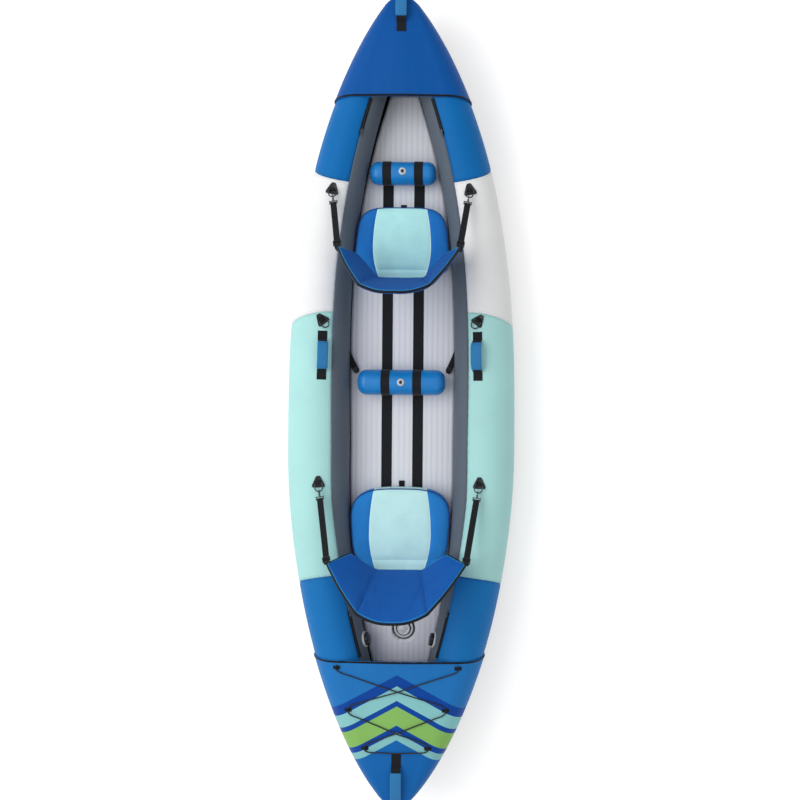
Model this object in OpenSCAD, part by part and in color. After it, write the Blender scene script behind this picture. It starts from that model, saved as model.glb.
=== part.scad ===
// Inflatable two-seat kayak, as it lies ready on the ground.
// +Z is up, +Y points to the bow, +X to starboard. All sizes are millimetres.
// Two curved air chambers in sewn covers stand on a hull skin. An air floor lies between
// them, decks close both ends, and seats, footrests and deck gear are fitted inside.

/* [Hull] */
// Length from nose to nose
hull_length = 3300; // [3200:10:3400]
// Greatest width over the side chambers
hull_beam = 940; // [915:5:965]
// Place of the widest section, from mid-length towards the bow
widest_y = -187; // [-220:1:-150]
// Width of a side chamber amidships
tube_d = 256; // [246:1:264]
// Height of a chamber's lowest line above the ground
tube_lift = 10; // [8:0.5:14]
// How far a chamber rises at the bow
bow_rise = 110; // [90:5:125]
// How far a chamber rises at the stern
stern_rise = 90; // [75:5:105]
// Thickness of the cover cloth
skin_t = 2; // [1.6:0.1:2.4]
// Thickness of the hull bottom skin
bottom_t = 3; // [2.5:0.1:3.5]
// Height of the air floor
floor_t = 91.6; // [86:0.2:94]
// Distance between two ribs of the floor
rib_pitch = 23; // [21:0.5:26]

/* [Decks] */
// Edge of the bow deck, from mid-length
bow_deck_y = 1225; // [1205:1:1245]
// Edge of the stern deck, from mid-length
stern_deck_y = 1043; // [1030:1:1050]
// How far the middle of a deck stands over the chambers
deck_crown = 8; // [5:1:14]
// Thickness of the deck cloth
deck_t = 2.5; // [2:0.1:3]
// Thickness of the elastic deck cord
cord_d = 5; // [4:0.5:5.5]

/* [Seats] */
// Front edge of the front seat's cushion
front_seat_y = 809; // [800:1:816]
// Length of the front seat's cushion
front_seat_depth = 286; // [278:1:294]
// Front edge of the rear seat's cushion
rear_seat_y = -347; // [-352:1:-336]
// Length of the rear seat's cushion
rear_seat_depth = 326; // [316:1:336]
// Greatest width of a cushion
seat_w = 446; // [420:2:450]
// Thickness of a cushion at its edge
cushion_t = 90; // [80:1:96]
// Height of a seat back over its hinge seam
back_h = 400; // [380:5:420]
// Thickness of a seat back at the middle of a panel
back_t = 28; // [24:1:32]
// Width of the seat webbing
strap_w = 25; // [20:1:26]

/* [Footrests] */
// Place of the front footrest
front_rest_y = 947; // [938:1:956]
// Room between the front footrest's ends and the chambers
front_rest_clear = 12; // [9:0.5:18]
// Thickness of the front footrest
front_rest_d = 95; // [88:1:100]
// Place of the middle footrest
mid_rest_y = 84; // [66:1:106]
// Room between the middle footrest's ends and the chambers
mid_rest_clear = 37.5; // [34:0.5:48]
// Thickness of the middle footrest
mid_rest_d = 104; // [96:1:110]
// Width of the floor webbing
web_w = 44; // [40:1:48]
// Distance of the floor webbing from the middle
web_x = 65; // [58:1:72]

/* [Handles] */
// Length of a side handle's webbing
handle_len = 197; // [185:1:210]
// Width of the handle webbing
handle_w = 38; // [34:1:40]
// Height of a side handle's arch
handle_h = 34; // [30:1:40]

/* [Hidden] */
$fn = 48;
gap = 0.4;
web_t = 1.6;
bow_y = hull_length / 2;
stern_y = -hull_length / 2;
end_y = hull_length / 2 - 60;
bow_n = 2.7;
bow_q = 0.785;
stern_n = 2;
stern_q = 0.71;
tube_taper = 0.27;
tube_split = 16;
flat_half = 700;
keel_flat = 1290;
keel_rise = 150;
seam_a = 122;
seam_turn = 18;
turn_from = 400;
turn_run = 650;
low_a = -33;
inner_a = 254;
chamber_in = skin_t + 1.8;
bottom_gap = 0.5;
deck_gap = 3;
crown_base = 200;
floor_z0 = bottom_t + gap;
floor_top = floor_z0 + floor_t;
// The floor ends under both decks, before the keel rises
floor_fore = min(bow_deck_y + 32, keel_flat - 10);
floor_aft = -min(stern_deck_y + 49, keel_flat - 10);
web_z = floor_top + gap;
web_top = web_z + web_t;
seat_z = web_top + gap;
hinge_z = seat_z + cushion_t + 2;
ring_r = 2.5;
ring_w = 18;
ring_h = 8;

// Hull form: outline, chamber section and rise at a place y along the boat
function soft_min(a, b) = pow(pow(a, -6) + pow(b, -6), -1 / 6);
function span(y) = y >= widest_y ? (y - widest_y) / (bow_y - widest_y)
    : (widest_y - y) / (widest_y - stern_y);
function half_beam(y) = hull_beam / 2 * (y >= widest_y
    ? pow(1 - pow(span(y), bow_n), bow_q) : pow(1 - pow(span(y), stern_n), stern_q));
function full_r(y) = tube_d / 2 * (1 - tube_taper * pow(span(y), 1.3));
function tube_rx(y) = soft_min(full_r(y), (half_beam(y) - tube_split) / 2);
function tube_rz(y) = full_r(y) * pow(tube_rx(y) / full_r(y), 0.35);
function tube_x(y) = half_beam(y) - tube_rx(y);
function past(y, from) = max(0, abs(y) - from) / (hull_length / 2 - from);
function rise(y) = (y > 0 ? bow_rise : stern_rise) * pow(past(y, flat_half), 2);
function tube_z(y) = tube_lift + tube_d / 2 + rise(y);
function tube_pt(y, a, off) = [tube_x(y) + (tube_rx(y) + off) * cos(a), y,
    tube_z(y) + (tube_rz(y) + off) * sin(a)];
function keel_z(y) = keel_rise * pow(past(y, keel_flat), 1.4);
function keel_half(y) = tube_x(y) - 0.9 * tube_rx(y);
// Inner side of a chamber at height z, and the free half width between both chambers
function side_x(y, z) = tube_x(y)
    - tube_rx(y) * sqrt(max(0, 1 - pow((z - tube_z(y)) / tube_rz(y), 2)));
function free_half(y, z) = side_x(y, max(z, tube_z(y)));
function floor_half(y) = min(keel_half(y) - 6, side_x(y, floor_top) - 3);
// Top of a deck with its outer face raised by off
function deck_w(y, off) = half_beam(y) + deck_gap + off;
function deck_mid(x, y) = deck_crown * tube_x(y) / crown_base * pow(1 - pow(x / tube_x(y), 2), 2);
function deck_z(x, y, off) = let (h = tube_rz(y) + deck_gap + off,
    out = (abs(x) - tube_x(y)) / (tube_rx(y) + deck_gap + off))
    tube_z(y) + (out > 0 ? h * sqrt(max(0, 1 - out * out)) : h + deck_mid(x, y));

// Vector and list helpers
function unit(v) = v / norm(v);
function flat(l) = [for (a = l) each a];
function lerp(a, b, t) = a + (b - a) * t;
function sign_pow(v, p) = sign(v) * pow(abs(v), p);
function tri(a, b, c, d) = [[a, b, c], [a, c, d]];

// Closed skin between two grids of points, the first of which faces outward
module skin(outer, inner) {
    rows = len(outer);
    cols = len(outer[0]);
    n = rows * cols;
    sheet = [for (i = [0:rows - 2]) for (j = [0:cols - 2]) let (a = i * cols + j)
        each tri(a, a + 1, a + cols + 1, a + cols)];
    back = [for (f = sheet) [f[2] + n, f[1] + n, f[0] + n]];
    ends = [for (j = [0:cols - 2]) let (b = (rows - 1) * cols + j)
        each concat(tri(j + 1, j, j + n, j + 1 + n), tri(b, b + 1, b + 1 + n, b + n))];
    sides = [for (i = [0:rows - 2]) let (a = i * cols, b = i * cols + cols - 1)
        each concat(tri(a, a + cols, a + cols + n, a + n), tri(b + cols, b, b + n, b + cols + n))];
    polyhedron(concat(flat(outer), flat(inner)), concat(sheet, back, ends, sides), convexity = 8);
}

// Closed body through a list of rings, capped with a point at each end
module loft(rings, first, last) {
    rows = len(rings);
    cols = len(rings[0]);
    n = rows * cols;
    body = [for (i = [0:rows - 2]) for (j = [0:cols - 1]) let (k = (j + 1) % cols)
        each tri(i * cols + j, i * cols + k, (i + 1) * cols + k, (i + 1) * cols + j)];
    caps = [for (j = [0:cols - 1]) let (k = (j + 1) % cols, b = (rows - 1) * cols)
        each [[k, j, n], [b + j, b + k, n + 1]]];
    polyhedron(concat(flat(rings), [first, last]), concat(body, caps), convexity = 8);
}

// Local frame on a chamber: Y along it, Z out of it
function frame_at(y, a) = let (t = unit(tube_pt(y + 5, a, 0) - tube_pt(y - 5, a, 0)),
    c = tube_pt(y, a + 1, 0) - tube_pt(y, a - 1, 0), n = unit(cross(t, c)), x = cross(t, n),
    p = tube_pt(y, a, 0))
    [[x[0], t[0], n[0], p[0]], [x[1], t[1], n[1], p[1]], [x[2], t[2], n[2], p[2]], [0, 0, 0, 1]];
module on_tube(y, a) {
    multmatrix(frame_at(y, a)) children();
}
// Frame whose Y runs from p to q and whose X stays level
module along(p, q) {
    d = unit(q - p);
    translate(p) rotate([asin(d[2]), 0, atan2(-d[0], d[1])]) children();
}
module port() {
    mirror([1, 0, 0]) children();
}
module both() {
    children();
    mirror([1, 0, 0]) children();
}

// Covers of a side chamber. Their upper seam turns inward towards the stern.
function seam_at(y) = seam_a + seam_turn * min(1, max(0, (-y - turn_from) / turn_run));
function seam_side(y, a) = a > 0 ? a * seam_at(y) / seam_a : a;
function seam_y(s, a) = lerp(s[0], s[1], sin(90 * min(1, max(0, a / seam_a))));
function eased(t, e) = e > 0 ? sin(90 * t) : e < 0 ? 1 - cos(90 * t) : t;
bow_end = [end_y - 4, end_y - 4];
stern_end = [4 - end_y, 4 - end_y];
blue_white = [965, 894];
white_mint = [303, 368];
mint_blue = [-753, -701];
module panel(aft, fore, a0, a1, na, ny, ease) {
    spots = [for (i = [0:ny]) [for (j = [0:na]) let (a = lerp(a0, a1, j / na))
        [lerp(seam_y(aft, a) + gap, seam_y(fore, a) - gap, eased(i / ny, ease)), a]]];
    skin([for (r = spots) [for (s = r) tube_pt(s[0], seam_side(s[0], s[1]), 0)]],
        [for (r = spots) [for (s = r) tube_pt(s[0], seam_side(s[0], s[1]), -skin_t)]]);
}
module bow_panel() {
    panel(blue_white, bow_end, low_a, seam_a, 11, 10, 1);
}
module fore_panel() {
    panel(white_mint, blue_white, low_a, seam_a, 11, 6, 0);
}
module mid_panel() {
    panel(mint_blue, white_mint, low_a, seam_a, 11, 9, 0);
}
module stern_panel() {
    panel(stern_end, mint_blue, low_a, seam_a, 11, 11, -1);
}
function station(i, n, reach) = reach * sin(90 * i / n);
function wall_a(y, t) = lerp(seam_at(y) + 0.6, inner_a, t);
module inner_panel() {
    ys = [for (i = [-15:15]) station(i, 15, end_y - 4)];
    skin([for (y = ys) [for (j = [0:9]) tube_pt(y, wall_a(y, j / 9), 0)]],
        [for (y = ys) [for (j = [0:9]) tube_pt(y, wall_a(y, j / 9), -skin_t)]]);
}
// A chamber rests on the hull bottom, where it is a little larger
function chamber_off(j) = j >= 15 && j <= 17 ? bottom_gap - 1 : -chamber_in;
module air_chamber() {
    e = end_y - 8;
    ys = [for (i = [-15:15]) station(i, 15, e)];
    rings = [for (y = ys) [for (j = [0:19]) tube_pt(y, j * 18, chamber_off(j))]];
    loft(rings, [tube_x(-e), -e, tube_z(-e)], [tube_x(e), e, tube_z(e)]);
}
module port_air_chamber() {
    color("#30363c") port() air_chamber();
}
module starboard_air_chamber() {
    color("#30363c") air_chamber();
}
module port_bow_panel() {
    color("#1e70b6") port() bow_panel();
}
module starboard_bow_panel() {
    color("#1e70b6") bow_panel();
}
module port_fore_panel() {
    color("#f2f3f3") port() fore_panel();
}
module starboard_fore_panel() {
    color("#f2f3f3") fore_panel();
}
module port_mid_panel() {
    color("#bfe5e6") port() mid_panel();
}
module starboard_mid_panel() {
    color("#bfe5e6") mid_panel();
}
module port_stern_panel() {
    color("#2c7bbe") port() stern_panel();
}
module starboard_stern_panel() {
    color("#2c7bbe") stern_panel();
}
module port_inner_panel() {
    color("#525d68") port() inner_panel();
}
module starboard_inner_panel() {
    color("#525d68") inner_panel();
}

// Hull bottom: flat keel strip, then up round the lower outer quarter of each chamber
function bottom_half(y, off) = concat(
    [[0, y, keel_z(y) + bottom_t - off], [keel_half(y), y, keel_z(y) + bottom_t - off]],
    [for (k = [[-90, 0], [-72, 0], [-54, 0], [-36, 0.8], [-27, 1.2]])
        tube_pt(y, k[0], bottom_gap + k[1] + off)]);
function both_sides(h) = concat([for (i = [len(h) - 1:-1:1]) [-h[i][0], h[i][1], h[i][2]]], h);
module hull_bottom() {
    ys = concat([-end_y], [for (i = [-15:15]) station(i, 15, end_y - 8)], [end_y]);
    color("#23272c") skin([for (y = ys) both_sides(bottom_half(y, bottom_t))],
        [for (y = ys) both_sides(bottom_half(y, 0))]);
}

// Air floor: ribbed section along the boat, cut to the space between the chambers
module floor_section() {
    n = ceil(hull_beam / 4 / rib_pitch) + 1;
    ribs = [for (i = [-n:n]) for (k = [[-0.5, 3], [-0.3, 0.7], [0, 0], [0.3, 0.7]])
        [(i + k[0]) * rib_pitch, floor_top - k[1]]];
    polygon(concat([[-(n + 0.5) * rib_pitch, floor_z0]], ribs,
        [[(n + 0.5) * rib_pitch, floor_top - 3], [(n + 0.5) * rib_pitch, floor_z0]]));
}
module floor_plan() {
    ys = [for (i = [0:26]) lerp(floor_aft, floor_fore, (1 - cos(180 * i / 26)) / 2)];
    polygon(concat([for (y = ys) [floor_half(y), y]],
        [for (i = [26:-1:0]) [-floor_half(ys[i]), ys[i]]]));
}
floor_valve = [12, -954];
floor_valve_r = 45;
module air_floor() {
    color("#c4c6d0") difference() {
        intersection() {
            translate([0, floor_fore + 10, 0]) rotate([90, 0, 0])
                linear_extrude(floor_fore - floor_aft + 20) floor_section();
            linear_extrude(floor_top + 5) floor_plan();
        }
        translate([floor_valve[0], floor_valve[1], floor_top - 20]) 
            cylinder(r = floor_valve_r + 0.5, h = 40);
    }
}

// Decks: cloth drawn over both chambers, with a bound edge
deck_turns = [-22, -11, 0, 14, 28, 42, 55, 67, 78, 90];
deck_shares = [0.6, 0.3, 0, -0.3, -0.6];
function deck_row(y, off) = let (side = [for (a = deck_turns) tube_pt(y, a, deck_gap + off)],
    n = len(side)) concat(side,
    [for (k = deck_shares) [k * tube_x(y), y, deck_z(k * tube_x(y), y, off)]],
    [for (i = [n - 1:-1:0]) [-side[i][0], y, side[i][2]]]);
module deck(ys, lo, hi) {
    skin([for (y = ys) deck_row(y, hi)], [for (y = ys) deck_row(y, lo)]);
}
module bow_deck() {
    color("#1756a4") deck([for (i = [0:9]) lerp(bow_deck_y, end_y, sin(10 * i))], 0, deck_t);
}
module stern_deck() {
    color("#296eb5") deck([for (i = [0:11]) -lerp(stern_deck_y, end_y, sin(90 - 90 * i / 11))],
        0, deck_t);
}
module deck_bindings() {
    color("#1c1f24") {
        deck([bow_deck_y, bow_deck_y + 14], deck_t + gap, deck_t + gap + 2);
        deck([-stern_deck_y - 14, -stern_deck_y], deck_t + gap, deck_t + gap + 2);
    }
}

// Nose caps: closed ends of bow and stern
nose_y = end_y + 0.6;
function nose_wide(dir, s) = 0.08 + 0.92 * pow(max(0, 1 - s), dir > 0 ? 0.95 : 0.7);
function nose_tall(s) = 0.1 + 0.9 * sqrt(max(0, 1 - pow(s, 1.7)));
function nose_ring(dir, s) = let (e = dir * end_y, top = deck_z(0, e, deck_t), low = keel_z(e),
    w = deck_w(e, deck_t), mid = lerp(low, top, 0.58), k = nose_tall(s),
    y = dir * lerp(nose_y, bow_y - 1, s))
    [for (i = [0:19]) let (t = dir * i * 18)
        [w * nose_wide(dir, s) * sign_pow(cos(t), 0.8), y,
            mid + k * (sin(t) > 0 ? top - mid : mid - low) * sign_pow(sin(t), 0.9)]];
module nose_cap(dir) {
    rings = [for (s = [0, 0.25, 0.5, 0.7, 0.85, 0.95, 1]) nose_ring(dir, s)];
    mid = lerp(keel_z(dir * end_y), deck_z(0, dir * end_y, deck_t), 0.58);
    loft(rings, [0, dir * nose_y, mid], [0, dir * bow_y, mid]);
}
module bow_nose_cap() {
    color("#1756a4") nose_cap(1);
}
module stern_nose_cap() {
    color("#2165b0") nose_cap(-1);
}

// Floor webbing, footrests with their loops and plugs
web_fore = 1005;
web_aft = -520;
module floor_webbing() {
    color("#1c1f24") for (x = [-web_x, web_x])
        translate([x - web_w / 2, web_aft, web_z]) cube([web_w, web_fore - web_aft, web_t]);
}
loop_w = web_w - 8;
function rest_z(d) = web_top + 2 * gap + web_t + d / 2;
function rest_w(y, clear) = 2 * (free_half(y, 0) - clear);
module bolster(d, w) {
    r = d / 2;
    e = 0.72 * r;
    arc = [for (i = [0:8]) [r - e * (1 - cos(i * 10)), w / 2 - e * (1 - sin(i * 10))]];
    side = concat(arc, [[0, w / 2]]);
    rotate([0, 90, 0]) rotate_extrude() polygon(concat([[0, -w / 2]],
        [for (i = [8:-1:0]) [arc[i][0], -arc[i][1]]], side));
}
module footrest(d, w, y) {
    translate([0, y, rest_z(d)]) difference() {
        union() {
            bolster(d, w);
            translate([0, 0, d / 2 - 12]) cylinder(r = 15, h = 14);
        }
        translate([0, 0, d / 2 - 8]) cylinder(r = 5.2, h = 20);
    }
}
module rest_loops(d, y, tail) {
    for (x = [-web_x, web_x]) translate([x - loop_w / 2, y, rest_z(d)]) {
        rotate([0, 90, 0]) difference() {
            cylinder(r = d / 2 + gap + web_t, h = loop_w);
            translate([0, 0, -1]) cylinder(r = d / 2 + gap, h = loop_w + 2);
        }
        translate([0, -d / 2 - tail, -d / 2 - gap - web_t - 0.2])
            cube([loop_w, d / 2 + tail, web_t]);
    }
}
module rest_plug(d, y) {
    translate([0, y, rest_z(d) + d / 2]) {
        translate([0, 0, 2 + gap]) cylinder(r = 12, h = 3);
        translate([0, 0, -7]) cylinder(r = 5.1, h = 10);
        translate([-2.5, -11, 5]) cube([5, 22, 3]);
    }
}
module front_footrest() {
    w = rest_w(front_rest_y, front_rest_clear);
    color("#2e7dc3") footrest(front_rest_d, w, front_rest_y);
}
module mid_footrest() {
    w = rest_w(mid_rest_y, mid_rest_clear);
    color("#2e7dc3") footrest(mid_rest_d, w, mid_rest_y);
}
module front_footrest_loops() {
    color("#1c1f24") rest_loops(front_rest_d, front_rest_y, 30);
}
module mid_footrest_loops() {
    color("#1c1f24") rest_loops(mid_rest_d, mid_rest_y, 60);
}
module front_footrest_plug() {
    color("#c9cdd2") rest_plug(front_rest_d, front_rest_y);
}
module mid_footrest_plug() {
    color("#c9cdd2") rest_plug(mid_rest_d, mid_rest_y);
}

// Seat cushions: sides drawn in, top crowned, edges held clear of the chambers
function cushion_ring(y0, depth, k) = let (z = seat_z + k[1] * cushion_t)
    [for (i = [0:39]) let (t = -i * 9,
        y = y0 - depth / 2 + depth / 2 * k[0] * sign_pow(sin(t), 0.42),
        w = min(seat_w / 2, free_half(y, z) - 3))
        [w * k[0] * sign_pow(cos(t), 0.42), y, z + k[2]]];
module cushion(y0, depth) {
    levels = [[0.55, 0, 0], [0.88, 0, 0], [0.97, 0.18, 0], [0.985, 0.42, 0], [1, 0.6, 0],
        [0.985, 0.8, 0], [0.93, 0.94, 0], [0.8, 1, 0], [0.5, 1, 8]];
    rings = [for (k = levels) cushion_ring(y0, depth, k)];
    loft(rings, [0, y0 - depth / 2, seat_z], [0, y0 - depth / 2, seat_z + cushion_t + 11]);
}
module front_seat_base() {
    color("#2c78bd") cushion(front_seat_y, front_seat_depth);
}
module rear_seat_base() {
    color("#2c78bd") cushion(rear_seat_y, rear_seat_depth);
}

// Seat backs: a centre panel and two wings drawn forward, as points from the hinge seam
back_gap = 17;
function back_y(y0, depth) = y0 - depth - back_gap;
seam_r = 4;
front_base = [0, back_y(front_seat_y, front_seat_depth), hinge_z + seam_r + 1.5 * gap];
rear_base = [0, back_y(rear_seat_y, rear_seat_depth), hinge_z + seam_r + 1.5 * gap];
// Per seat: wing tip, shoulder, top middle and lower wing corner
tall = back_h / 400;
front_form = [[240, 106, 165 * tall], [132, -63, 374 * tall], [0, -91, 398 * tall], [182, 94, 66]];
rear_form = [[273, 57, 170 * tall], [133, -90, 372 * tall], [0, -122, 396 * tall], [200, 79, 62]];
function mirror_x(p) = [-p[0], p[1], p[2]];
function low_edge(f, u) = abs(u) <= 0.5 ? [190 * u, 0, 0]
    : let (t = 2 * abs(u) - 1, p = lerp([95, 0, 0], f[3], t)) u > 0 ? p : mirror_x(p);
function high_edge(f, u) = abs(u) <= 0.5
    ? let (t = 2 * abs(u), p = lerp(f[2], f[1], t) + [0, -10, 6] * sin(180 * t))
        u > 0 ? p : mirror_x(p)
    : let (t = 2 * abs(u) - 1, p = lerp(f[1], f[0], t) + [4, -4, 5] * sin(180 * t))
        u > 0 ? p : mirror_x(p);
function back_mid(f, u, v) = lerp(low_edge(f, u), high_edge(f, u), v);
function back_normal(f, u, v) = let (
    du = back_mid(f, min(1, u + 0.02), v) - back_mid(f, max(-1, u - 0.02), v),
    dv = back_mid(f, u, min(1, v + 0.02)) - back_mid(f, u, max(0, v - 0.02)))
    unit(cross(dv, du));
function back_half_t(u, v) = let (e = 1 - pow(abs(2 * v - 1), 6),
    s = abs(sin(180 * (2 * abs(u) > 1 ? 2 * abs(u) - 1 : 0.5 + abs(u)))))
    5 + (back_t / 2 - 5) * e * pow(s, 0.5);
module seat_back(base, f) {
    us = [for (i = [-8:8]) i / 8];
    vs = [for (j = [0:7]) j / 7];
    front = [for (v = vs) [for (u = us)
        base + back_mid(f, u, v) + back_normal(f, u, v) * back_half_t(u, v)]];
    rear = [for (v = vs) [for (u = us)
        base + back_mid(f, u, v) - back_normal(f, u, v) * back_half_t(u, v)]];
    skin(front, rear);
}
module front_seat_back() {
    color("#205aa6") seat_back(front_base, front_form);
}
module rear_seat_back() {
    color("#205aa6") seat_back(rear_base, rear_form);
}
module hinge_seam(base, depth) {
    translate([-88, base[1], hinge_z]) rotate([0, 90, 0]) cylinder(r = seam_r, h = 176);
    translate([-88, base[1], seat_z + cushion_t + gap]) cube([176, back_gap + depth / 10, 1.2]);
}
module seat_hinge_seams() {
    color("#1c1f24") {
        hinge_seam(front_base, front_seat_depth);
        hinge_seam(rear_base, rear_seat_depth);
    }
}
module seat_tab(y0) {
    translate([-12, y0 - 26, floor_top + gap]) cube([24, 44, web_t]);
    translate([-12, y0 + 4, floor_top + gap]) cube([24, 14, 4]);
}
module seat_tabs() {
    color("#1c1f24") {
        seat_tab(front_seat_y);
        seat_tab(rear_seat_y);
    }
}

// Rings on sewn patches, snap hooks, straps and buckles along one taut line a side
front_ring_at = [857, 90];
rear_ring_at = [-326, 97.5];
spare_ring_at = [332, 101];
front_from = tube_pt(front_ring_at[0], front_ring_at[1], ring_h);
rear_from = tube_pt(rear_ring_at[0], rear_ring_at[1], ring_h);
front_to = front_base + front_form[0];
rear_to = rear_base + rear_form[0];
hook_at = 2 * ring_w - ring_r;
strap_at = hook_at + 34;
tip_gap = 5;
module ring() {
    r = ring_w;
    i = ring_w - 2 * ring_r;
    outer = concat([[-r, 0]],
        [for (k = [12:-1:0]) [r * cos(15 * k), r + r * sin(15 * k)]], [[r, 0]]);
    inner = concat([[i, 0]],
        [for (k = [0:12]) [i * cos(15 * k), r + i * sin(15 * k)]], [[-i, 0]]);
    translate([0, 0, -ring_r]) linear_extrude(2 * ring_r) polygon(concat(outer, inner));
    translate([-r, 0, 0]) rotate([0, 90, 0]) cylinder(r = ring_r, h = 2 * r);
}
module keeper() {
    difference() {
        translate([-12, 0, 0]) rotate([0, 90, 0]) cylinder(r = 5.6, h = 24);
        translate([-20, 0, 0]) rotate([0, 90, 0]) cylinder(r = ring_r + 0.2, h = 40);
    }
}
module patch_plate() {
    translate([0, 0, 0.5]) linear_extrude(2.2)
        polygon([[-24, -17], [24, -17], [26, -8], [8, 30], [-8, 30], [-26, -8]]);
}
module hook() {
    translate([-2.5, hook_at + 2, 0]) rotate([0, 90, 0]) difference() {
        cylinder(r = 10, h = 5);
        translate([0, 0, -1]) cylinder(r = 6, h = 7);
    }
    translate([-3, hook_at + 10, -3]) cube([6, 12, 6]);
    difference() {
        translate([-16, hook_at + 20, -2]) cube([32, 14, 4]);
        translate([-strap_w / 2 - 0.5, hook_at + 24, -5]) cube([strap_w + 1, 6, 10]);
    }
}
module strap(p, q) {
    along(p, q) translate([-strap_w / 2, strap_at + gap, -0.8])
        cube([strap_w, norm(q - p) - strap_at - tip_gap - 4, web_t]);
}
module buckle(p, q) {
    along(p, q) difference() {
        translate([-strap_w / 2 - 3.5, norm(q - p) - tip_gap - 24, -3.2])
            cube([strap_w + 7, 24, 6.4]);
        translate([-strap_w / 2 - 0.5, norm(q - p) - tip_gap - 30, -1.2])
            cube([strap_w + 1, 28, 2.4]);
    }
}
module front_port_strap() {
    color("#1c1f24") port() strap(front_from, front_to);
}
module front_starboard_strap() {
    color("#1c1f24") strap(front_from, front_to);
}
module rear_port_strap() {
    color("#1c1f24") port() strap(rear_from, rear_to);
}
module rear_starboard_strap() {
    color("#1c1f24") strap(rear_from, rear_to);
}
module snap_hooks() {
    color("#24272b") both() {
        along(front_from, front_to) hook();
        along(rear_from, rear_to) hook();
    }
}
module front_strap_buckles() {
    color("#17191c") both() buckle(front_from, front_to);
}
module rear_strap_buckles() {
    color("#17191c") both() buckle(rear_from, rear_to);
}
module ring_patches() {
    color("#22262b") both() {
        on_tube(front_ring_at[0], front_ring_at[1]) patch_plate();
        along(front_from, front_to) keeper();
        on_tube(rear_ring_at[0], rear_ring_at[1]) patch_plate();
        along(rear_from, rear_to) keeper();
        on_tube(spare_ring_at[0], spare_ring_at[1]) rotate([0, 0, -40]) {
            patch_plate();
            translate([0, 0, ring_h]) keeper();
        }
    }
}
module strap_rings() {
    color("#3a3e44") both() {
        along(front_from, front_to) ring();
        along(rear_from, rear_to) ring();
    }
}
module spare_ring() {
    on_tube(spare_ring_at[0], spare_ring_at[1]) rotate([0, 0, 140])
        translate([0, 0, ring_h]) ring();
}
module port_spare_ring() {
    color("#3a3e44") port() spare_ring();
}
module starboard_spare_ring() {
    color("#3a3e44") spare_ring();
}

// Carry handles: a webbing arch with a padded sleeve
side_handle_at = [191, 103];
function arch(s, reach, h) = abs(s) >= reach ? 0 : h * (1 - pow(s / reach, 4));
arch_s = 66;
// The flat webbing ends lie close to the cover, which falls away to both sides
sewn = -0.3;
function arch_pts(from, to, lift) = [for (i = [0:24]) let (s = lerp(from, to, i / 24))
    [s, sewn + arch(s, arch_s, handle_h) + lift]];
function band(lower, upper) = concat(lower, [for (i = [len(upper) - 1:-1:0]) upper[i]]);
module upright(w) {
    translate([-w / 2, 0, 0]) rotate([90, 0, 90]) linear_extrude(w) children();
}
module side_webbing() {
    e = handle_len / 2;
    low = concat([[-e, sewn]], arch_pts(-arch_s, arch_s, 0), [[e, sewn]]);
    high = concat([[-e, sewn + web_t]], arch_pts(-arch_s, arch_s, web_t), [[e, sewn + web_t]]);
    upright(handle_w) polygon(band(low, high));
}
module side_sleeve() {
    difference() {
        upright(handle_w + 8)
            polygon(band(arch_pts(-54, 54, -3.6), arch_pts(-54, 54, web_t + 3.6)));
        upright(handle_w + 1)
            polygon(band(arch_pts(-60, 60, -gap), arch_pts(-60, 60, web_t + gap)));
    }
}
// End handles run from a sewn tail on the deck to the nose
function ridge(dir, y) = deck_z(0, dir * y, deck_t) + 0.6;
function nose_ridge(dir, s) = let (e = dir * end_y, top = deck_z(0, e, deck_t), low = keel_z(e),
    mid = lerp(low, top, 0.58)) mid + nose_tall(s) * (top - mid) + 0.6;
function end_arch(dir, from, i) = let (t = i / 20, y = lerp(from, bow_y - 15, t))
    [y, lerp(ridge(dir, from), nose_ridge(dir, 0.72), t) + 36 * (1 - pow(abs(2 * t - 1), 3))];
function end_line(dir, tail, from, lift) = concat(
    [for (i = [0:3]) let (y = lerp(tail, from, i / 4)) [y, ridge(dir, y) + lift]],
    [for (i = [0:20]) end_arch(dir, from, i) + [0, lift]]);
function sleeve_line(dir, from, lift) = [for (i = [3:17]) end_arch(dir, from, i) + [0, lift]];
module end_webbing(dir, tail, from) {
    upright(handle_w)
        polygon(band(end_line(dir, tail, from, 0), end_line(dir, tail, from, web_t)));
}
module end_sleeve(dir, from) {
    difference() {
        upright(handle_w + 6)
            polygon(band(sleeve_line(dir, from, -3), sleeve_line(dir, from, web_t + 3)));
        upright(handle_w + 1) polygon(band([for (i = [2:18]) end_arch(dir, from, i) - [0, gap]],
            [for (i = [2:18]) end_arch(dir, from, i) + [0, web_t + gap]]));
    }
}
bow_tail = [bow_y - 175, bow_y - 140];
module handle_webbing() {
    color("#1c1f24") {
        both() on_tube(side_handle_at[0], side_handle_at[1]) side_webbing();
        end_webbing(1, bow_tail[0], bow_tail[1]);
        mirror([0, 1, 0]) end_webbing(-1, stern_tail[0], stern_tail[1]);
    }
}
module handle_sleeves() {
    color("#2f76b4") {
        both() on_tube(side_handle_at[0], side_handle_at[1]) side_sleeve();
        end_sleeve(1, bow_tail[1]);
        mirror([0, 1, 0]) end_sleeve(-1, stern_tail[1]);
    }
}

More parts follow.
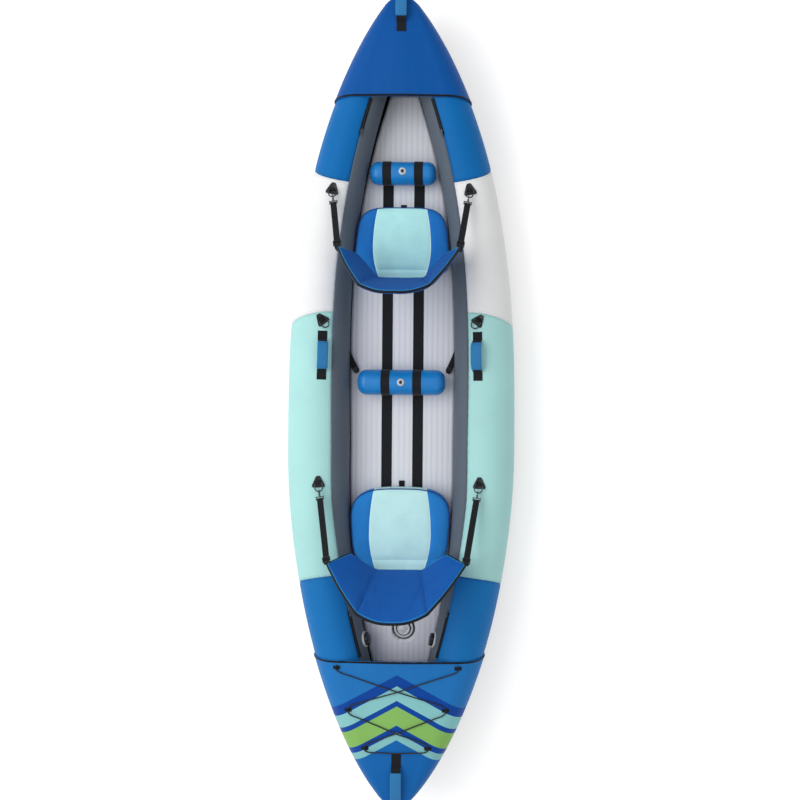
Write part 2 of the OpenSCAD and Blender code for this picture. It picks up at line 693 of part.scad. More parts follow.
// Valves: a body with a round post, and a ribbed cap that turns on it
valve_at = [-983, 172];
module chamber_valve() {
    y = valve_at[0];
    on_tube(y, valve_at[1]) difference() {
        union() {
            translate([0, 0, -8]) cylinder(r = 34, h = 14);
            cylinder(r = 9, h = 16);
        }
        translate([0, 60, -tube_rz(y)]) rotate([90, 0, 0])
            cylinder(r = tube_rz(y) + 1.3, h = 120, $fn = 96);
    }
}
module valve_cap() {
    difference() {
        union() {
            translate([0, 0, 6 + gap]) cylinder(r = 24, h = 14);
            for (i = [0:11]) rotate([0, 0, 30 * i + 15])
                translate([23, 0, 6 + gap]) cylinder(r = 3, h = 13, $fn = 16);
        }
        cylinder(r = 9.2, h = 16 + gap);
    }
}
module at_floor_valve() {
    translate([floor_valve[0], floor_valve[1], floor_top - 14]) children();
}
module valve_bodies() {
    color("#2a2e33") {
        both() chamber_valve();
        at_floor_valve() {
            translate([0, 0, -6 + gap]) cylinder(r = floor_valve_r, h = 12 - gap);
            cylinder(r = 9, h = 16);
        }
    }
}
module port_valve_cap() {
    color("#17191c") port() on_tube(valve_at[0], valve_at[1]) valve_cap();
}
module starboard_valve_cap() {
    color("#17191c") on_tube(valve_at[0], valve_at[1]) valve_cap();
}
module floor_valve_cap() {
    color("#d9dce0") at_floor_valve() valve_cap();
}

// Zips along the seam of the covers, each with a slider on its coil
bow_zip = [bow_deck_y - 140, bow_deck_y - 2];
stern_zip = [189 - stern_deck_y, 3 - stern_deck_y];
zip_off = 1.4;
function zip_end(z, k) = tube_pt(z[k], seam_at(z[k]), zip_off);
function zip_tilt(z) = let (y = (z[0] + z[1]) / 2, f = frame_at(y, seam_at(y)))
    [f[0][2], f[1][2], f[2][2]];
function zip_frame(z) = let (p = zip_end(z, 0), q = zip_end(z, 1), t = unit(q - p),
    n0 = zip_tilt(z), n = unit(n0 - t * (n0 * t)), x = cross(t, n))
    [[x[0], t[0], n[0], p[0]], [x[1], t[1], n[1], p[1]], [x[2], t[2], n[2], p[2]], [0, 0, 0, 1]];
function zip_len(z) = norm(zip_end(z, 1) - zip_end(z, 0));
module on_zip(z) {
    multmatrix(zip_frame(z)) children();
}
module zip_tape(z) {
    on_zip(z) {
        translate([-7, 0, 0]) cube([14, zip_len(z), 1.4]);
        translate([-2.5, 0, 1]) cube([5, zip_len(z), 2]);
    }
}
module slider(z) {
    on_zip(z) translate([0, 4, 0]) {
        difference() {
            translate([-5.5, 0, 1.4 + gap]) cube([11, 16, 4.6]);
            translate([-2.5 - gap, -5, 0]) cube([5 + 2 * gap, 30, 3 + gap]);
        }
        translate([-3, -16, 6]) cube([6, 24, 1.6]);
    }
}
module zip_tapes() {
    color("#1c1f24") both() {
        zip_tape(bow_zip);
        zip_tape(stern_zip);
    }
}
module port_bow_slider() {
    color("#17191c") port() slider(bow_zip);
}
module starboard_bow_slider() {
    color("#17191c") slider(bow_zip);
}
module port_stern_slider() {
    color("#17191c") port() slider(stern_zip);
}
module starboard_stern_slider() {
    color("#17191c") slider(stern_zip);
}

// Elastic cord laced through six loops on the stern deck. The first pair stands behind the
// deck's edge. A loop's place is its share of the half beam and of the way to the tip.
loop_edge = 27;
loop_shares = [[0.72, 0], [0.7, 0.29], [0.595, 0.548]];
function loop_at(s) = let (y = -lerp(stern_deck_y + loop_edge, bow_y, s[1]))
    [s[0] * half_beam(y), y];
loops_at = [for (s = loop_shares) loop_at(s)];
cord_up = cord_d / 2 + 2.4;
// Straight run of the cord on both sides of a loop, its end past the first pair, and its
// bend behind the last pair
loop_run = 15;
cord_tail = 11;
bend_run = 18;
cross_half = 70;
// The stern handle's webbing starts behind that bend
stern_tail_y = bend_run + 4 - loops_at[2][1];
stern_tail = [stern_tail_y, stern_tail_y + 40];
function leg(a, b) = [for (i = [0:6]) lerp(a, b, i / 6)];
function before(i, side) = [side * loops_at[i][0], loops_at[i][1] + loop_run];
function after(i, side) = [side * loops_at[i][0], loops_at[i][1] - loop_run];
function bend(k) = [k * loops_at[2][0], loops_at[2][1] - bend_run * (1 - 0.4 * k * k)];
function tail(side) = [side * loops_at[0][0], loops_at[0][1] + cord_tail];
cord_plan = concat([tail(-1)], leg(after(0, -1), before(1, 1)), leg(after(1, 1), before(2, -1)),
    [after(2, -1), bend(-0.46), bend(0), bend(0.46), after(2, 1)],
    leg(before(2, 1), after(1, -1)), leg(before(1, -1), after(0, 1)), [tail(1)]);
function cut_once(l) = concat([l[0]], [for (i = [0:len(l) - 2])
    each [lerp(l[i], l[i + 1], 0.25), lerp(l[i], l[i + 1], 0.75)]], [l[len(l) - 1]]);
// The second half of the cord passes over the first where they cross on the middle line
function over(i, n, p) = i > n / 2 && abs(p[0]) < cross_half && p[1] > loops_at[2][1]
    ? (cord_d + 0.8) * pow(cos(90 * p[0] / cross_half), 2) : 0;
function cord_line() = let (l = cut_once(cord_plan), n = len(l)) [for (i = [0:n - 1])
    [l[i][0], l[i][1], deck_z(l[i][0], l[i][1], deck_t) + cord_up + over(i, n, l[i])]];
function cord_ring(l, i) = let (n = len(l), t = unit(l[min(n - 1, i + 1)] - l[max(0, i - 1)]),
    s = unit(cross([0, 0, 1], t)), u = cross(t, s))
    [for (k = [0:7]) l[i] + cord_d / 2 * (cos(45 * k) * u + sin(45 * k) * s)];
module deck_cord() {
    l = cord_line();
    n = len(l);
    color("#2b2f36") loft([for (i = [0:n - 1]) cord_ring(l, i)], l[0], l[n - 1]);
}
function deck_pt(x, y) = [x, y, deck_z(x, y, deck_t)];
function deck_frame(x, y) = let (t = unit(deck_pt(x, y + 4) - deck_pt(x, y - 4)),
    c = deck_pt(x - 4, y) - deck_pt(x + 4, y), n = unit(cross(t, c)),
    a = cross(t, n), p = deck_pt(x, y))
    [[a[0], t[0], n[0], p[0]], [a[1], t[1], n[1], p[1]], [a[2], t[2], n[2], p[2]], [0, 0, 0, 1]];
module cord_loop(x, y) {
    difference() {
        multmatrix(deck_frame(x, y)) {
            translate([-7, -7, 0.8]) cube([14, 14, 9]);
            translate([-14, -9, 0.8]) cube([28, 18, 1]);
        }
        along(deck_pt(x, y - 15) + [0, 0, cord_up], deck_pt(x, y + 15) + [0, 0, cord_up])
            rotate([-90, 0, 0]) cylinder(r = cord_d / 2 + 0.8, h = 31);
    }
}
module cord_loops() {
    color("#1c1f24") both() for (p = loops_at) cord_loop(p[0], p[1]);
}

// Webbing tabs that stand off the inner walls over the floor, each with a buckle at its end
wall_at = [189, 184];
wall_reach = [-24, -54, -22];
wall_case = [26, 28, 7];
wall_tail = [18, 130];
wall_from = tube_pt(wall_at[0], wall_at[1], 0.6);
wall_to = wall_from + wall_reach;
module wall_buckle() {
    e = norm(wall_reach);
    slant = 12 * wall_reach[1] / wall_reach[0];
    along(wall_from, wall_to) {
        linear_extrude(web_t) polygon([[-12, slant], [12, -slant], [12, e], [-12, e]]);
        translate([0, e, 0.8]) cube(wall_case, center = true);
    }
}
module wall_buckles() {
    color("#1c1f24") {
        both() wall_buckle();
        port() on_tube(wall_at[0] - wall_tail[1] / 2, wall_at[1] + 6)
            translate([-wall_tail[0] / 2, -wall_tail[1] / 2, 0.6])
            cube([wall_tail[0], wall_tail[1], web_t]);
    }
}

hull_bottom();
port_air_chamber();
starboard_air_chamber();
port_bow_panel();
starboard_bow_panel();
port_fore_panel();
starboard_fore_panel();
port_mid_panel();
starboard_mid_panel();
port_stern_panel();
starboard_stern_panel();
port_inner_panel();
starboard_inner_panel();
air_floor();
bow_deck();
stern_deck();
deck_bindings();
bow_nose_cap();
stern_nose_cap();
floor_webbing();
front_footrest();
mid_footrest();
front_footrest_loops();
mid_footrest_loops();
front_footrest_plug();
mid_footrest_plug();
front_seat_base();
rear_seat_base();
front_seat_back();
rear_seat_back();
seat_hinge_seams();
front_port_strap();
front_starboard_strap();
rear_port_strap();
rear_starboard_strap();
snap_hooks();
front_strap_buckles();
rear_strap_buckles();
seat_tabs();
ring_patches();
strap_rings();
port_spare_ring();
starboard_spare_ring();
handle_webbing();
handle_sleeves();
valve_bodies();
port_valve_cap();
starboard_valve_cap();
floor_valve_cap();
zip_tapes();
port_bow_slider();
starboard_bow_slider();
port_stern_slider();
starboard_stern_slider();
deck_cord();
cord_loops();
wall_buckles();
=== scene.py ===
# %% [markdown]
# # Dressing a two-seat inflatable kayak
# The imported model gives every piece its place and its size. This lesson dresses it: cloth covers over
# air chambers, padded seats, webbing, moulded fittings and a laced elastic cord. Each step says what
# the piece is on the real boat, how it could be made, and why one way was chosen.

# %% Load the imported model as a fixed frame
import bpy
import numpy as np
from mathutils import Euler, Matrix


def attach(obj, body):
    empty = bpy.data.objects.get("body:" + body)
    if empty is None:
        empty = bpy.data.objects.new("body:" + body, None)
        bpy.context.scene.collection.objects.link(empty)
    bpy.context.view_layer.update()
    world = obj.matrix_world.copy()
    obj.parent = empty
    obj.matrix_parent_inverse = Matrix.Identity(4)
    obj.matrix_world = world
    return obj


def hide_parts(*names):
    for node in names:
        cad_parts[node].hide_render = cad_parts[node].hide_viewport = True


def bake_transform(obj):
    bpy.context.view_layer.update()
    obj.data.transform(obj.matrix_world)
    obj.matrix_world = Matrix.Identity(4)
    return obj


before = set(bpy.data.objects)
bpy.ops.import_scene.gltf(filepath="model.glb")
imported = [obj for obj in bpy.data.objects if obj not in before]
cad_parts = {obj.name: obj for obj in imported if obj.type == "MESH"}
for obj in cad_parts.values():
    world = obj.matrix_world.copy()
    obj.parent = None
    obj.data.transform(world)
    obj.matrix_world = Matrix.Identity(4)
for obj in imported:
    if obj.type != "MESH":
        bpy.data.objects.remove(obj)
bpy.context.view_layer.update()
MM = 0.001

# %% [markdown]
# ## Camera
# The photograph looks almost straight down from about four metres, a little from starboard. A camera
# could be aimed with a constraint, but fixed angles are easier to read: Z turns first, then X, then Y.
# The values come from fitting the boat's outline to the picture. The picture was cut off centre, so
# the lens also gets a small shift.

# %% Camera at the photograph's angle
PHOTO_WIDTH = 800
FOCAL_PIXELS = 947.41
SENSOR = 36.0
camera_data = bpy.data.cameras.new("photo_camera")
camera_data.sensor_width = SENSOR
camera_data.lens = SENSOR * FOCAL_PIXELS / PHOTO_WIDTH
camera_data.shift_x = -65.54 / PHOTO_WIDTH
camera_data.shift_y = -2.65 / PHOTO_WIDTH
camera = bpy.data.objects.new("photo_camera", camera_data)
camera.rotation_mode = "ZXY"
camera.rotation_euler = Euler((-0.01366, 0.00694, 0.0085), "ZXY")
camera.location = (0.29286, 0.07781, 4.07619)
bpy.context.scene.collection.objects.link(camera)
bpy.context.scene.camera = camera
print("camera lens", round(camera_data.lens, 2), "mm")

# %% [markdown]
# ## From grids of points to meshes
# Every new piece here is a grid of points worked out as one numpy array. A closed body joins the
# columns of the grid to a ring and covers both ends. A shell is a sheet with two faces and a narrow
# edge. The sign of the volume tells whether the faces look outward, and turns them if they don't.

# %% Grid helpers
def unit(v):
    """Each vector divided by its own length."""
    return v / np.maximum(np.linalg.norm(v, axis=-1, keepdims=True), 1e-12)


def quads_of(rows, cols, close):
    """Corner numbers of the quads of a grid; close also joins the last column to the first."""
    i, j = np.meshgrid(np.arange(rows - 1), np.arange(cols if close else cols - 1), indexing="ij")
    k = (j + 1) % cols
    return np.stack([i * cols + j, i * cols + k, (i + 1) * cols + k, (i + 1) * cols + j], -1).reshape(-1, 4)


def body(points, cloth=None, ring=False):
    """Closed body of a grid whose columns run round it. Each end row is covered by a fan about its
    middle; ring joins the last row to the first instead."""
    rows, cols = points.shape[:2]
    flat = points.reshape(-1, 3)
    marks = np.zeros_like(flat) if cloth is None else cloth.reshape(-1, 3)
    if ring:
        faces = quads_of(rows + 1, cols, True) % (rows * cols)
        return flat, [faces], marks
    quads = quads_of(rows, cols, True)
    a = np.arange(cols)
    b = (a + 1) % cols
    last = (rows - 1) * cols
    n = len(flat)
    first_fan = np.stack([b, a, 0 * a + n], -1)
    last_fan = np.stack([last + a, last + b, 0 * a + n + 1], -1)
    fans = np.concatenate([first_fan, last_fan])
    flat = np.concatenate([flat, points[[0, -1]].mean(1)])
    marks = np.concatenate([marks, marks[[0, last]]])
    return flat, [quads, fans], marks


def shell(outer, inner, cloth=None):
    """Closed sheet between two grids of the same size, with quads along all four edges."""
    rows, cols = outer.shape[:2]
    n = rows * cols
    front = quads_of(rows, cols, False)
    rim = np.concatenate([np.arange(cols), np.arange(2 * cols - 1, n, cols),
                          np.arange(n - 2, n - cols - 1, -1), np.arange(n - 2 * cols, 0, -cols)])
    after = np.roll(rim, -1)
    edge = np.stack([after, rim, rim + n, after + n], -1)
    flat = np.concatenate([outer.reshape(-1, 3), inner.reshape(-1, 3)])
    marks = np.zeros((n, 3)) if cloth is None else cloth.reshape(-1, 3)
    return flat, [front, front[:, ::-1] + n, edge], np.concatenate([marks, marks])


def signed_volume(points, faces):
    """Six times the volume: the sum of corner products over triangles that fan from each first corner."""
    total = 0.0
    for group in faces:
        for k in range(1, group.shape[1] - 1):
            a, b, c = (points[group[:, m]] for m in (0, k, k + 1))
            total += float((a * np.cross(b, c)).sum())
    return total


def piece(name, parts, material, rides, stands_for=(), slot=None):
    """Joins parts to one smooth object, outward faces first checked, and hands it to the frame."""
    points, faces, marks, start = [], [], [], 0
    for flat, groups, mark in parts:
        turn = -1 if signed_volume(flat, groups) < 0 else 1
        faces += [face for g in groups for face in (g[:, ::turn] + start).tolist()]
        points.append(flat)
        marks.append(mark)
        start += len(flat)
    mesh = bpy.data.meshes.new(name)
    mesh.from_pydata(np.concatenate(points).tolist(), [], faces)
    mesh.polygons.foreach_set("use_smooth", np.ones(len(mesh.polygons), bool))
    mark = mesh.attributes.new("cloth", "FLOAT_VECTOR", "POINT")
    mark.data.foreach_set("vector", np.concatenate(marks).astype(np.float32).ravel())
    mesh.materials.append(material)
    made = bpy.data.objects.new(name, mesh)
    bpy.context.scene.collection.objects.link(made)
    if rides:
        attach(made, rides)
    if stands_for:
        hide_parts(*stands_for)
    return made


def mirrored(part, side):
    """The part on starboard (side 1) or its mirror image on port (side -1)."""
    flat, groups, marks = part
    return flat * np.array([side, 1, 1]), groups, marks


def both(parts):
    """Parts on starboard and their mirror images on port."""
    return [mirrored(p, side) for side in (1, -1) for p in parts]


HANDS = (("port", -1), ("starboard", 1))
UP = np.array([0.0, 0, 1])

# %% [markdown]
# ## Carrying a profile along a path
# Webbing, cords, rings, bindings and hems are all one outline carried along a line. A bevelled curve
# would do for cords, but webbing has to keep one face up, so the path gets its own frame: the tangent,
# an up direction made square to it, and the side between them.

# %% Profiles, sweeps and turned shapes
def arc_length(path):
    """Distance along a path up to each of its points."""
    step = np.linalg.norm(np.diff(path, axis=0), axis=1)
    return np.concatenate([[0], np.cumsum(step)])


def angles(count):
    """One full turn in equal steps, without its last point."""
    return np.linspace(0, 2 * np.pi, count, endpoint=False)


def soft_power(value, power):
    """A power that keeps the sign, which squares off a circle when the power is below one."""
    return np.sign(value) * np.abs(value) ** power


def outline(width, height, power=0.3, count=24):
    """Rounded rectangle: a superellipse with the given width and height."""
    t = angles(count)
    return np.stack([width / 2 * soft_power(np.cos(t), power), height / 2 * soft_power(np.sin(t), power)], -1)


def sweep(path, up, profile, ring=False):
    """Profile carried along a path. Its first axis points sideways and its second along up. The cloth
    marks are the place across, the place along and the distance from the nearer edge."""
    ahead = np.roll(path, -1, 0) - np.roll(path, 1, 0) if ring else np.gradient(path, axis=0)
    tangent = unit(ahead)
    up = np.broadcast_to(np.asarray(up, float), path.shape)
    up = unit(up - (up * tangent).sum(-1, keepdims=True) * tangent)
    side = np.cross(tangent, up)
    profile = np.broadcast_to(profile, (len(path),) + profile.shape[-2:])
    grid = path[:, None] + profile[..., :1] * side[:, None] + profile[..., 1:] * up[:, None]
    along = np.broadcast_to(arc_length(path)[:, None], profile.shape[:2])
    edge = np.abs(profile[..., 0]).max(-1, keepdims=True) - np.abs(profile[..., 0])
    return body(grid, np.stack([profile[..., 0], along, edge], -1), ring)


def smooth_path(points, count, ring=False):
    """Curve through given points: each stretch is a cubic whose slopes are half the step between
    the neighbours on both sides."""
    p = np.asarray(points, float)
    n = len(p)
    ends = [p, p[:1], p[1:2]] if ring else [2 * p[:1] - p[1:2], p, 2 * p[-1:] - p[-2:-1]]
    q = np.concatenate([p[-1:], *ends]) if ring else np.concatenate(ends)
    stretches = n if ring else n - 1
    s = np.linspace(0, stretches, count, endpoint=not ring)
    i = np.minimum(s.astype(int), stretches - 1)
    t = (s - i)[:, None]
    a, b, c, d = (q[i + k] for k in range(4))
    return 0.5 * (2 * b + (c - a) * t + (2 * a - 5 * b + 4 * c - d) * t ** 2
                  + (3 * b - a - 3 * c + d) * t ** 3)


def turned(profile, sides=64, ribs=0, depth=0.0):
    """Rows of radius and height in millimetres turned about local Z. A row's third value is its share of
    the ribs, which add depth to the radius with the positive half of a cosine."""
    rows = np.array([(*row, 0)[:3] for row in profile]) * np.array([MM, MM, 1])
    t = angles(sides)
    rib = np.maximum(0, np.cos(ribs * t)) ** 0.6 * depth if ribs else 0 * t
    r = rows[:, :1] + rows[:, 2:3] * rib
    return np.stack([r * np.cos(t), r * np.sin(t), np.broadcast_to(rows[:, 1:2], r.shape)], -1)


def block(size, power=0.25, count=32):
    """Rounded box: a superellipsoid of the given full sizes, from its lower to its upper pole."""
    a = np.linspace(-np.pi / 2, np.pi / 2, count)[1:-1, None]
    t = angles(2 * count)
    x = soft_power(np.cos(a), power) * soft_power(np.cos(t), power)
    y = soft_power(np.cos(a), power) * soft_power(np.sin(t), power)
    z = soft_power(np.sin(a), power) + 0 * t
    return np.stack([x, y, z], -1) * np.asarray(size) / 2


def set_on(local, frame4):
    """Local points (x, y, z) placed on a frame of origin and three axes."""
    origin, x, y, z = frame4
    return origin + local[..., :1] * x + local[..., 1:2] * y + local[..., 2:] * z


def moved(frame4, axis, way):
    """The same frame moved along its own axis 1, 2 or 3."""
    return (frame4[0] + way * frame4[axis], *frame4[1:])


def blocks(shapes, frame4):
    """Rounded boxes in a frame, each by its sizes and place in millimetres, its power and its count."""
    return [body(set_on(block(np.array(size) * MM, power, count) + np.array(at) * MM, frame4))
            for size, at, power, count in shapes]


def bent_band(local, frame4, axis, profile):
    """Band along a bent local path; its width runs along the given axis."""
    placed = set_on(local, frame4)
    return sweep(placed, np.cross(axis, unit(np.gradient(placed, axis=0))), profile)


def line_frame(start, finish):
    """Frame at start whose Y runs to finish, with a level X."""
    y = unit(finish - start)
    x = unit(np.cross(y, UP))
    return start, x, y, np.cross(x, y)

# %% [markdown]
# ## The hull's form
# All the large surfaces follow one form. The outline is a power curve to each end, and each side
# chamber is an ellipse in section that shrinks towards the ends and rises there. The same few driving
# sizes as in the construction are repeated here, in metres, so that every cover lies on its chamber.

# %% Hull form
HALF = 1650 * MM
BEAM = 940 * MM
WIDEST = -187 * MM
TUBE = 256 * MM
LIFT = 10 * MM
SPLIT = 16 * MM
FLAT = 700 * MM
BOW_RISE = 110 * MM
STERN_RISE = 90 * MM
KEEL_FLAT = 1290 * MM
KEEL_RISE = 150 * MM
END = HALF - 60 * MM
SEAM_A = 122
LOW_A = -33
INNER_A = 254
SEAM_TURN = 18
TURN_FROM = 400 * MM
TURN_RUN = 650 * MM
FLOOR_TOP = 95 * MM
BOW_POWERS = (2.7, 0.785)
STERN_POWERS = (2, 0.71)
TAPER = 0.27


def span(y):
    """Share of the way from the widest section to the nearer tip."""
    return np.where(y >= WIDEST, (y - WIDEST) / (HALF - WIDEST), (WIDEST - y) / (WIDEST + HALF))


def half_beam(y):
    """Half width: one less a power of the share, raised to a power under one, so the tips close round."""
    bow = np.maximum(0, 1 - span(y) ** BOW_POWERS[0]) ** BOW_POWERS[1]
    stern = np.maximum(0, 1 - span(y) ** STERN_POWERS[0]) ** STERN_POWERS[1]
    return BEAM / 2 * np.where(y >= WIDEST, bow, stern)


def full_r(y):
    """Radius of a chamber before the tips squeeze it."""
    return TUBE / 2 * (1 - TAPER * span(y) ** 1.3)


def tube_rx(y):
    """Sideways radius: the smaller of the full radius and half the room, joined softly."""
    return (full_r(y) ** -6 + ((half_beam(y) - SPLIT) / 2) ** -6) ** (-1 / 6)


def tube_rz(y):
    """Upright radius, which shrinks less than the sideways one."""
    return full_r(y) * (tube_rx(y) / full_r(y)) ** 0.35


def tube_x(y):
    """Distance of a chamber's middle line from the boat's middle plane."""
    return half_beam(y) - tube_rx(y)


def foot_x(y):
    """Where the flat bottom meets a chamber."""
    return tube_x(y) - 0.9 * tube_rx(y)


def past(y, start):
    """Share of the way from a start line to the tip, zero before it."""
    return np.maximum(0, np.abs(y) - start) / (HALF - start)


def tube_z(y):
    """Height of a chamber's middle line, with the rise of bow and stern."""
    return LIFT + TUBE / 2 + np.where(y > 0, BOW_RISE, STERN_RISE) * past(y, FLAT) ** 2


def keel_z(y):
    """Height of the keel strip, which lifts only near the tips."""
    return KEEL_RISE * past(y, KEEL_FLAT) ** 1.4


def tube_pt(y, a, off=0.0):
    """Point of the starboard chamber at place y and angle a in degrees, raised by off."""
    y, a, off = np.broadcast_arrays(np.asarray(y, float), np.asarray(a, float), np.asarray(off, float))
    c, s = np.cos(np.radians(a)), np.sin(np.radians(a))
    return np.stack([tube_x(y) + (tube_rx(y) + off) * c, y, tube_z(y) + (tube_rz(y) + off) * s], -1)


def tube_frame(y, a, turn=0.0):
    """Frame on the starboard chamber: Y along it, Z out of it, turned about Z by some degrees."""
    along = unit(tube_pt(y + 5 * MM, a) - tube_pt(y - 5 * MM, a))
    out = unit(np.cross(along, tube_pt(y, a + 1) - tube_pt(y, a - 1)))
    across = np.cross(along, out)
    c, s = np.cos(np.radians(turn)), np.sin(np.radians(turn))
    return tube_pt(y, a), c * across + s * along, c * along - s * across, out


def side_x(y, z):
    """Inner side of a chamber at height z."""
    lift = np.clip((z - tube_z(y)) / tube_rz(y), -1, 1)
    return tube_x(y) - tube_rx(y) * np.sqrt(1 - lift ** 2)


def free_half(y, z):
    """Free half width between the chambers for a piece that comes down from above to height z."""
    return side_x(y, np.maximum(z, tube_z(y)))


def seam_at(y):
    """Angle of the long seam: even along most of the boat, turned further inboard towards the stern."""
    return SEAM_A + SEAM_TURN * np.clip((-y - TURN_FROM) / TURN_RUN, 0, 1)


print("beam at the widest section", float(2 * half_beam(np.float64(WIDEST))), "m")

# %% [markdown]
# ## Colours and shader nodes
# Colours are written as they look on a screen and turned to linear light by one function. One helper
# adds a node with its options and its inputs, so a material reads as a short list of nodes.

# %% Colour and node helpers
def linear(code):
    """sRGB hex code to linear light: a straight part near black, a power of 2.4 above it."""
    v = np.array([int(code[k:k + 2], 16) for k in (1, 3, 5)]) / 255
    low = v / 12.92
    high = ((v + 0.055) / 1.055) ** 2.4
    return (*np.where(v <= 0.04045, low, high).tolist(), 1.0)


def node(tree, kind, sockets, **options):
    """Adds a shader node. Options are its own settings; sockets are input values or links by name."""
    made = tree.nodes.new("ShaderNode" + kind)
    for key, value in options.items():
        setattr(made, key, value)
    for key, value in sockets.items():
        if isinstance(value, bpy.types.NodeSocket):
            tree.links.new(value, made.inputs[key])
        else:
            made.inputs[key].default_value = value
    return made


def finish(name, **sockets):
    """New material with one Principled shader and its plain values."""
    made = bpy.data.materials.new(name)
    made.use_nodes = True
    tree = made.node_tree
    shader = tree.nodes["Principled BSDF"]
    for key, value in sockets.items():
        shader.inputs[key.replace("_", " ")].default_value = value
    return made, tree, shader


def math(tree, operation, a, b=0.0):
    """Result of one Math node."""
    return node(tree, "Math", {0: a, 1: b}, operation=operation).outputs[0]


def wave(tree, value, length):
    """Sine of a place with the given wave length."""
    return math(tree, "SINE", math(tree, "MULTIPLY", value, 2 * np.pi / length))


def threads(tree, spacing, across, along):
    """Height of a plain weave: warp and weft are two sine waves of the thread spacing, multiplied."""
    return math(tree, "MULTIPLY", wave(tree, across, spacing), wave(tree, along, spacing))


def scaled(tree, value, by, plus):
    """A value times one number, plus another."""
    return math(tree, "ADD", math(tree, "MULTIPLY", value, by), plus)


def ramped(tree, value, low, high, first=0.0):
    """A value between low and high as a share, from the first share to one."""
    return node(tree, "MapRange", {0: value, 1: low, 2: high, 3: first}).outputs[0]


def xyz(tree, vector):
    """The three parts of a vector."""
    return node(tree, "SeparateXYZ", {0: vector}).outputs


def object_place(tree):
    """Place on the object."""
    return node(tree, "TexCoord", {}).outputs["Object"]


def cloth_marks(tree):
    """The three marks that a surface carries."""
    marks = node(tree, "Attribute", {}, attribute_name="cloth").outputs["Vector"]
    return xyz(tree, marks)


def noise(tree, vector, scale, detail, **more):
    """Value of one noise texture."""
    return node(tree, "TexNoise", {"Vector": vector, "Scale": scale, "Detail": detail, **more}).outputs["Fac"]


def plain(colour):
    """A hex code as linear light; any other colour or link as it is."""
    return linear(colour) if isinstance(colour, str) else colour


def mixed(tree, share, a, b):
    """Two colours mixed by a share."""
    sockets = {"Factor": share, "A": plain(a), "B": plain(b)}
    return node(tree, "Mix", sockets, data_type="RGBA").outputs["Result"]


def dyed(tree, colour, value):
    """A colour with its brightness multiplied by a value."""
    return node(tree, "HueSaturation", {"Color": plain(colour), "Value": value}).outputs[0]


def dye_of(made):
    """Node tree of a cloth and the node that holds its colour."""
    tree = made.node_tree
    return tree, next(n for n in tree.nodes if n.type == "HUE_SAT")


def bumped(tree, shader, height, strength, distance):
    """Gives a shader a bump."""
    made = node(tree, "Bump", {"Height": height, "Strength": strength, "Distance": distance})
    tree.links.new(made.outputs[0], shader.inputs["Normal"])

# %% [markdown]
# ## Coated nylon
# The covers and decks are nylon with a thin coating on the inside, woven from coarse yarn and dyed.
# The eye sees a satin surface, a faint weave and slow changes of tone where the cloth is drawn tight.
# Yarns are about 0.6 mm apart; they are drawn 1.8 mm apart so that they can show. Two rows of stitches
# follow each seam, at the distances that the cloth marks give.

# %% Coated nylon
YARN = 1.8 * MM
SEAM_ROWS = (4 * MM, 9 * MM)
STITCH = 4.5 * MM


def stitched(tree, marks):
    """Mask of stitches: thin bands at two distances from a seam, broken into dashes."""
    dash = math(tree, "GREATER_THAN", wave(tree, math(tree, "ADD", marks[0], marks[1]), STITCH), -0.4)
    lines = [math(tree, "COMPARE", marks[2], distance) for distance in SEAM_ROWS]
    for line in lines:
        line.node.inputs[2].default_value = 0.7 * MM
    return math(tree, "MULTIPLY", math(tree, "MAXIMUM", *lines), dash)


def coated_nylon(name, colour, thread, rough=0.5):
    """Dyed nylon cloth: mottled colour, weave bump, and stitches along the seams. The gaps between the
    yarns swallow most of the mirror light, so its level is low."""
    made, tree, shader = finish(name, Roughness=rough, IOR=1.5, Specular_IOR_Level=0.15)
    marks = cloth_marks(tree)
    place = object_place(tree)
    slow = noise(tree, place, 5.0, 3.0)
    fine = math(tree, "MULTIPLY", noise(tree, place, 420.0, 2.0), 0.10)
    tone = math(tree, "ADD", math(tree, "MULTIPLY", slow, 0.16), fine)
    dye = dyed(tree, colour, math(tree, "ADD", tone, 0.87))
    stitch = stitched(tree, marks)
    tree.links.new(mixed(tree, stitch, dye, thread), shader.inputs["Base Color"])
    height = threads(tree, YARN, marks[0], marks[1])
    bumped(tree, shader, math(tree, "ADD", height, math(tree, "MULTIPLY", stitch, 3.0)), 0.35, 0.25 * MM)
    tree.links.new(scaled(tree, slow, 0.14, rough - 0.07), shader.inputs["Roughness"])
    return made


# The bow and stern covers are one blue cloth; their blues differ only as painted light, the bow cover's set
# darker as painted shade.
bow_blue_as_lit = coated_nylon("bow_cover_nylon", "#036db6", "#174f86")
stern_blue_as_lit = coated_nylon("stern_cover_nylon", "#1476be", "#1b5894")
white_nylon = coated_nylon("white_cover_nylon", "#f4f5f5", "#d4d7da")
mint_nylon = coated_nylon("mint_cover_nylon", "#b2e6e3", "#8cc4c6")
wall_nylon = coated_nylon("grey_wall_nylon", "#656f7a", "#434d57", rough=0.55)
deck_blue = coated_nylon("bow_deck_nylon", "#0056a6", "#0f3f7c")
print("nylon finishes", len([m for m in bpy.data.materials if "nylon" in m.name]))

# %% [markdown]
# ## Covers of the side chambers
# A chamber's cover is sewn from four outer panels and a grey inner wall. Each panel is a function of
# the angle round the chamber and the share between two slanted seams. Near a seam the cloth dips by a
# millimetre or two and puckers, which is what makes a sewn seam read as one.

# %% Cover panels
BLUE_WHITE = (965 * MM, 894 * MM)
WHITE_MINT = (303 * MM, 368 * MM)
MINT_BLUE = (-753 * MM, -701 * MM)
BOW_END = (END - 4 * MM, END - 4 * MM)
STERN_END = (4 * MM - END, 4 * MM - END)
SEAM_DIP = 1.8 * MM
CLOTH_T = 2 * MM


def seam_y(seam, a):
    """Place of a slanted seam at angle a: it moves from its outer to its inner value as a sine."""
    return seam[0] + (seam[1] - seam[0]) * np.sin(np.radians(90) * np.clip(a / SEAM_A, 0, 1))


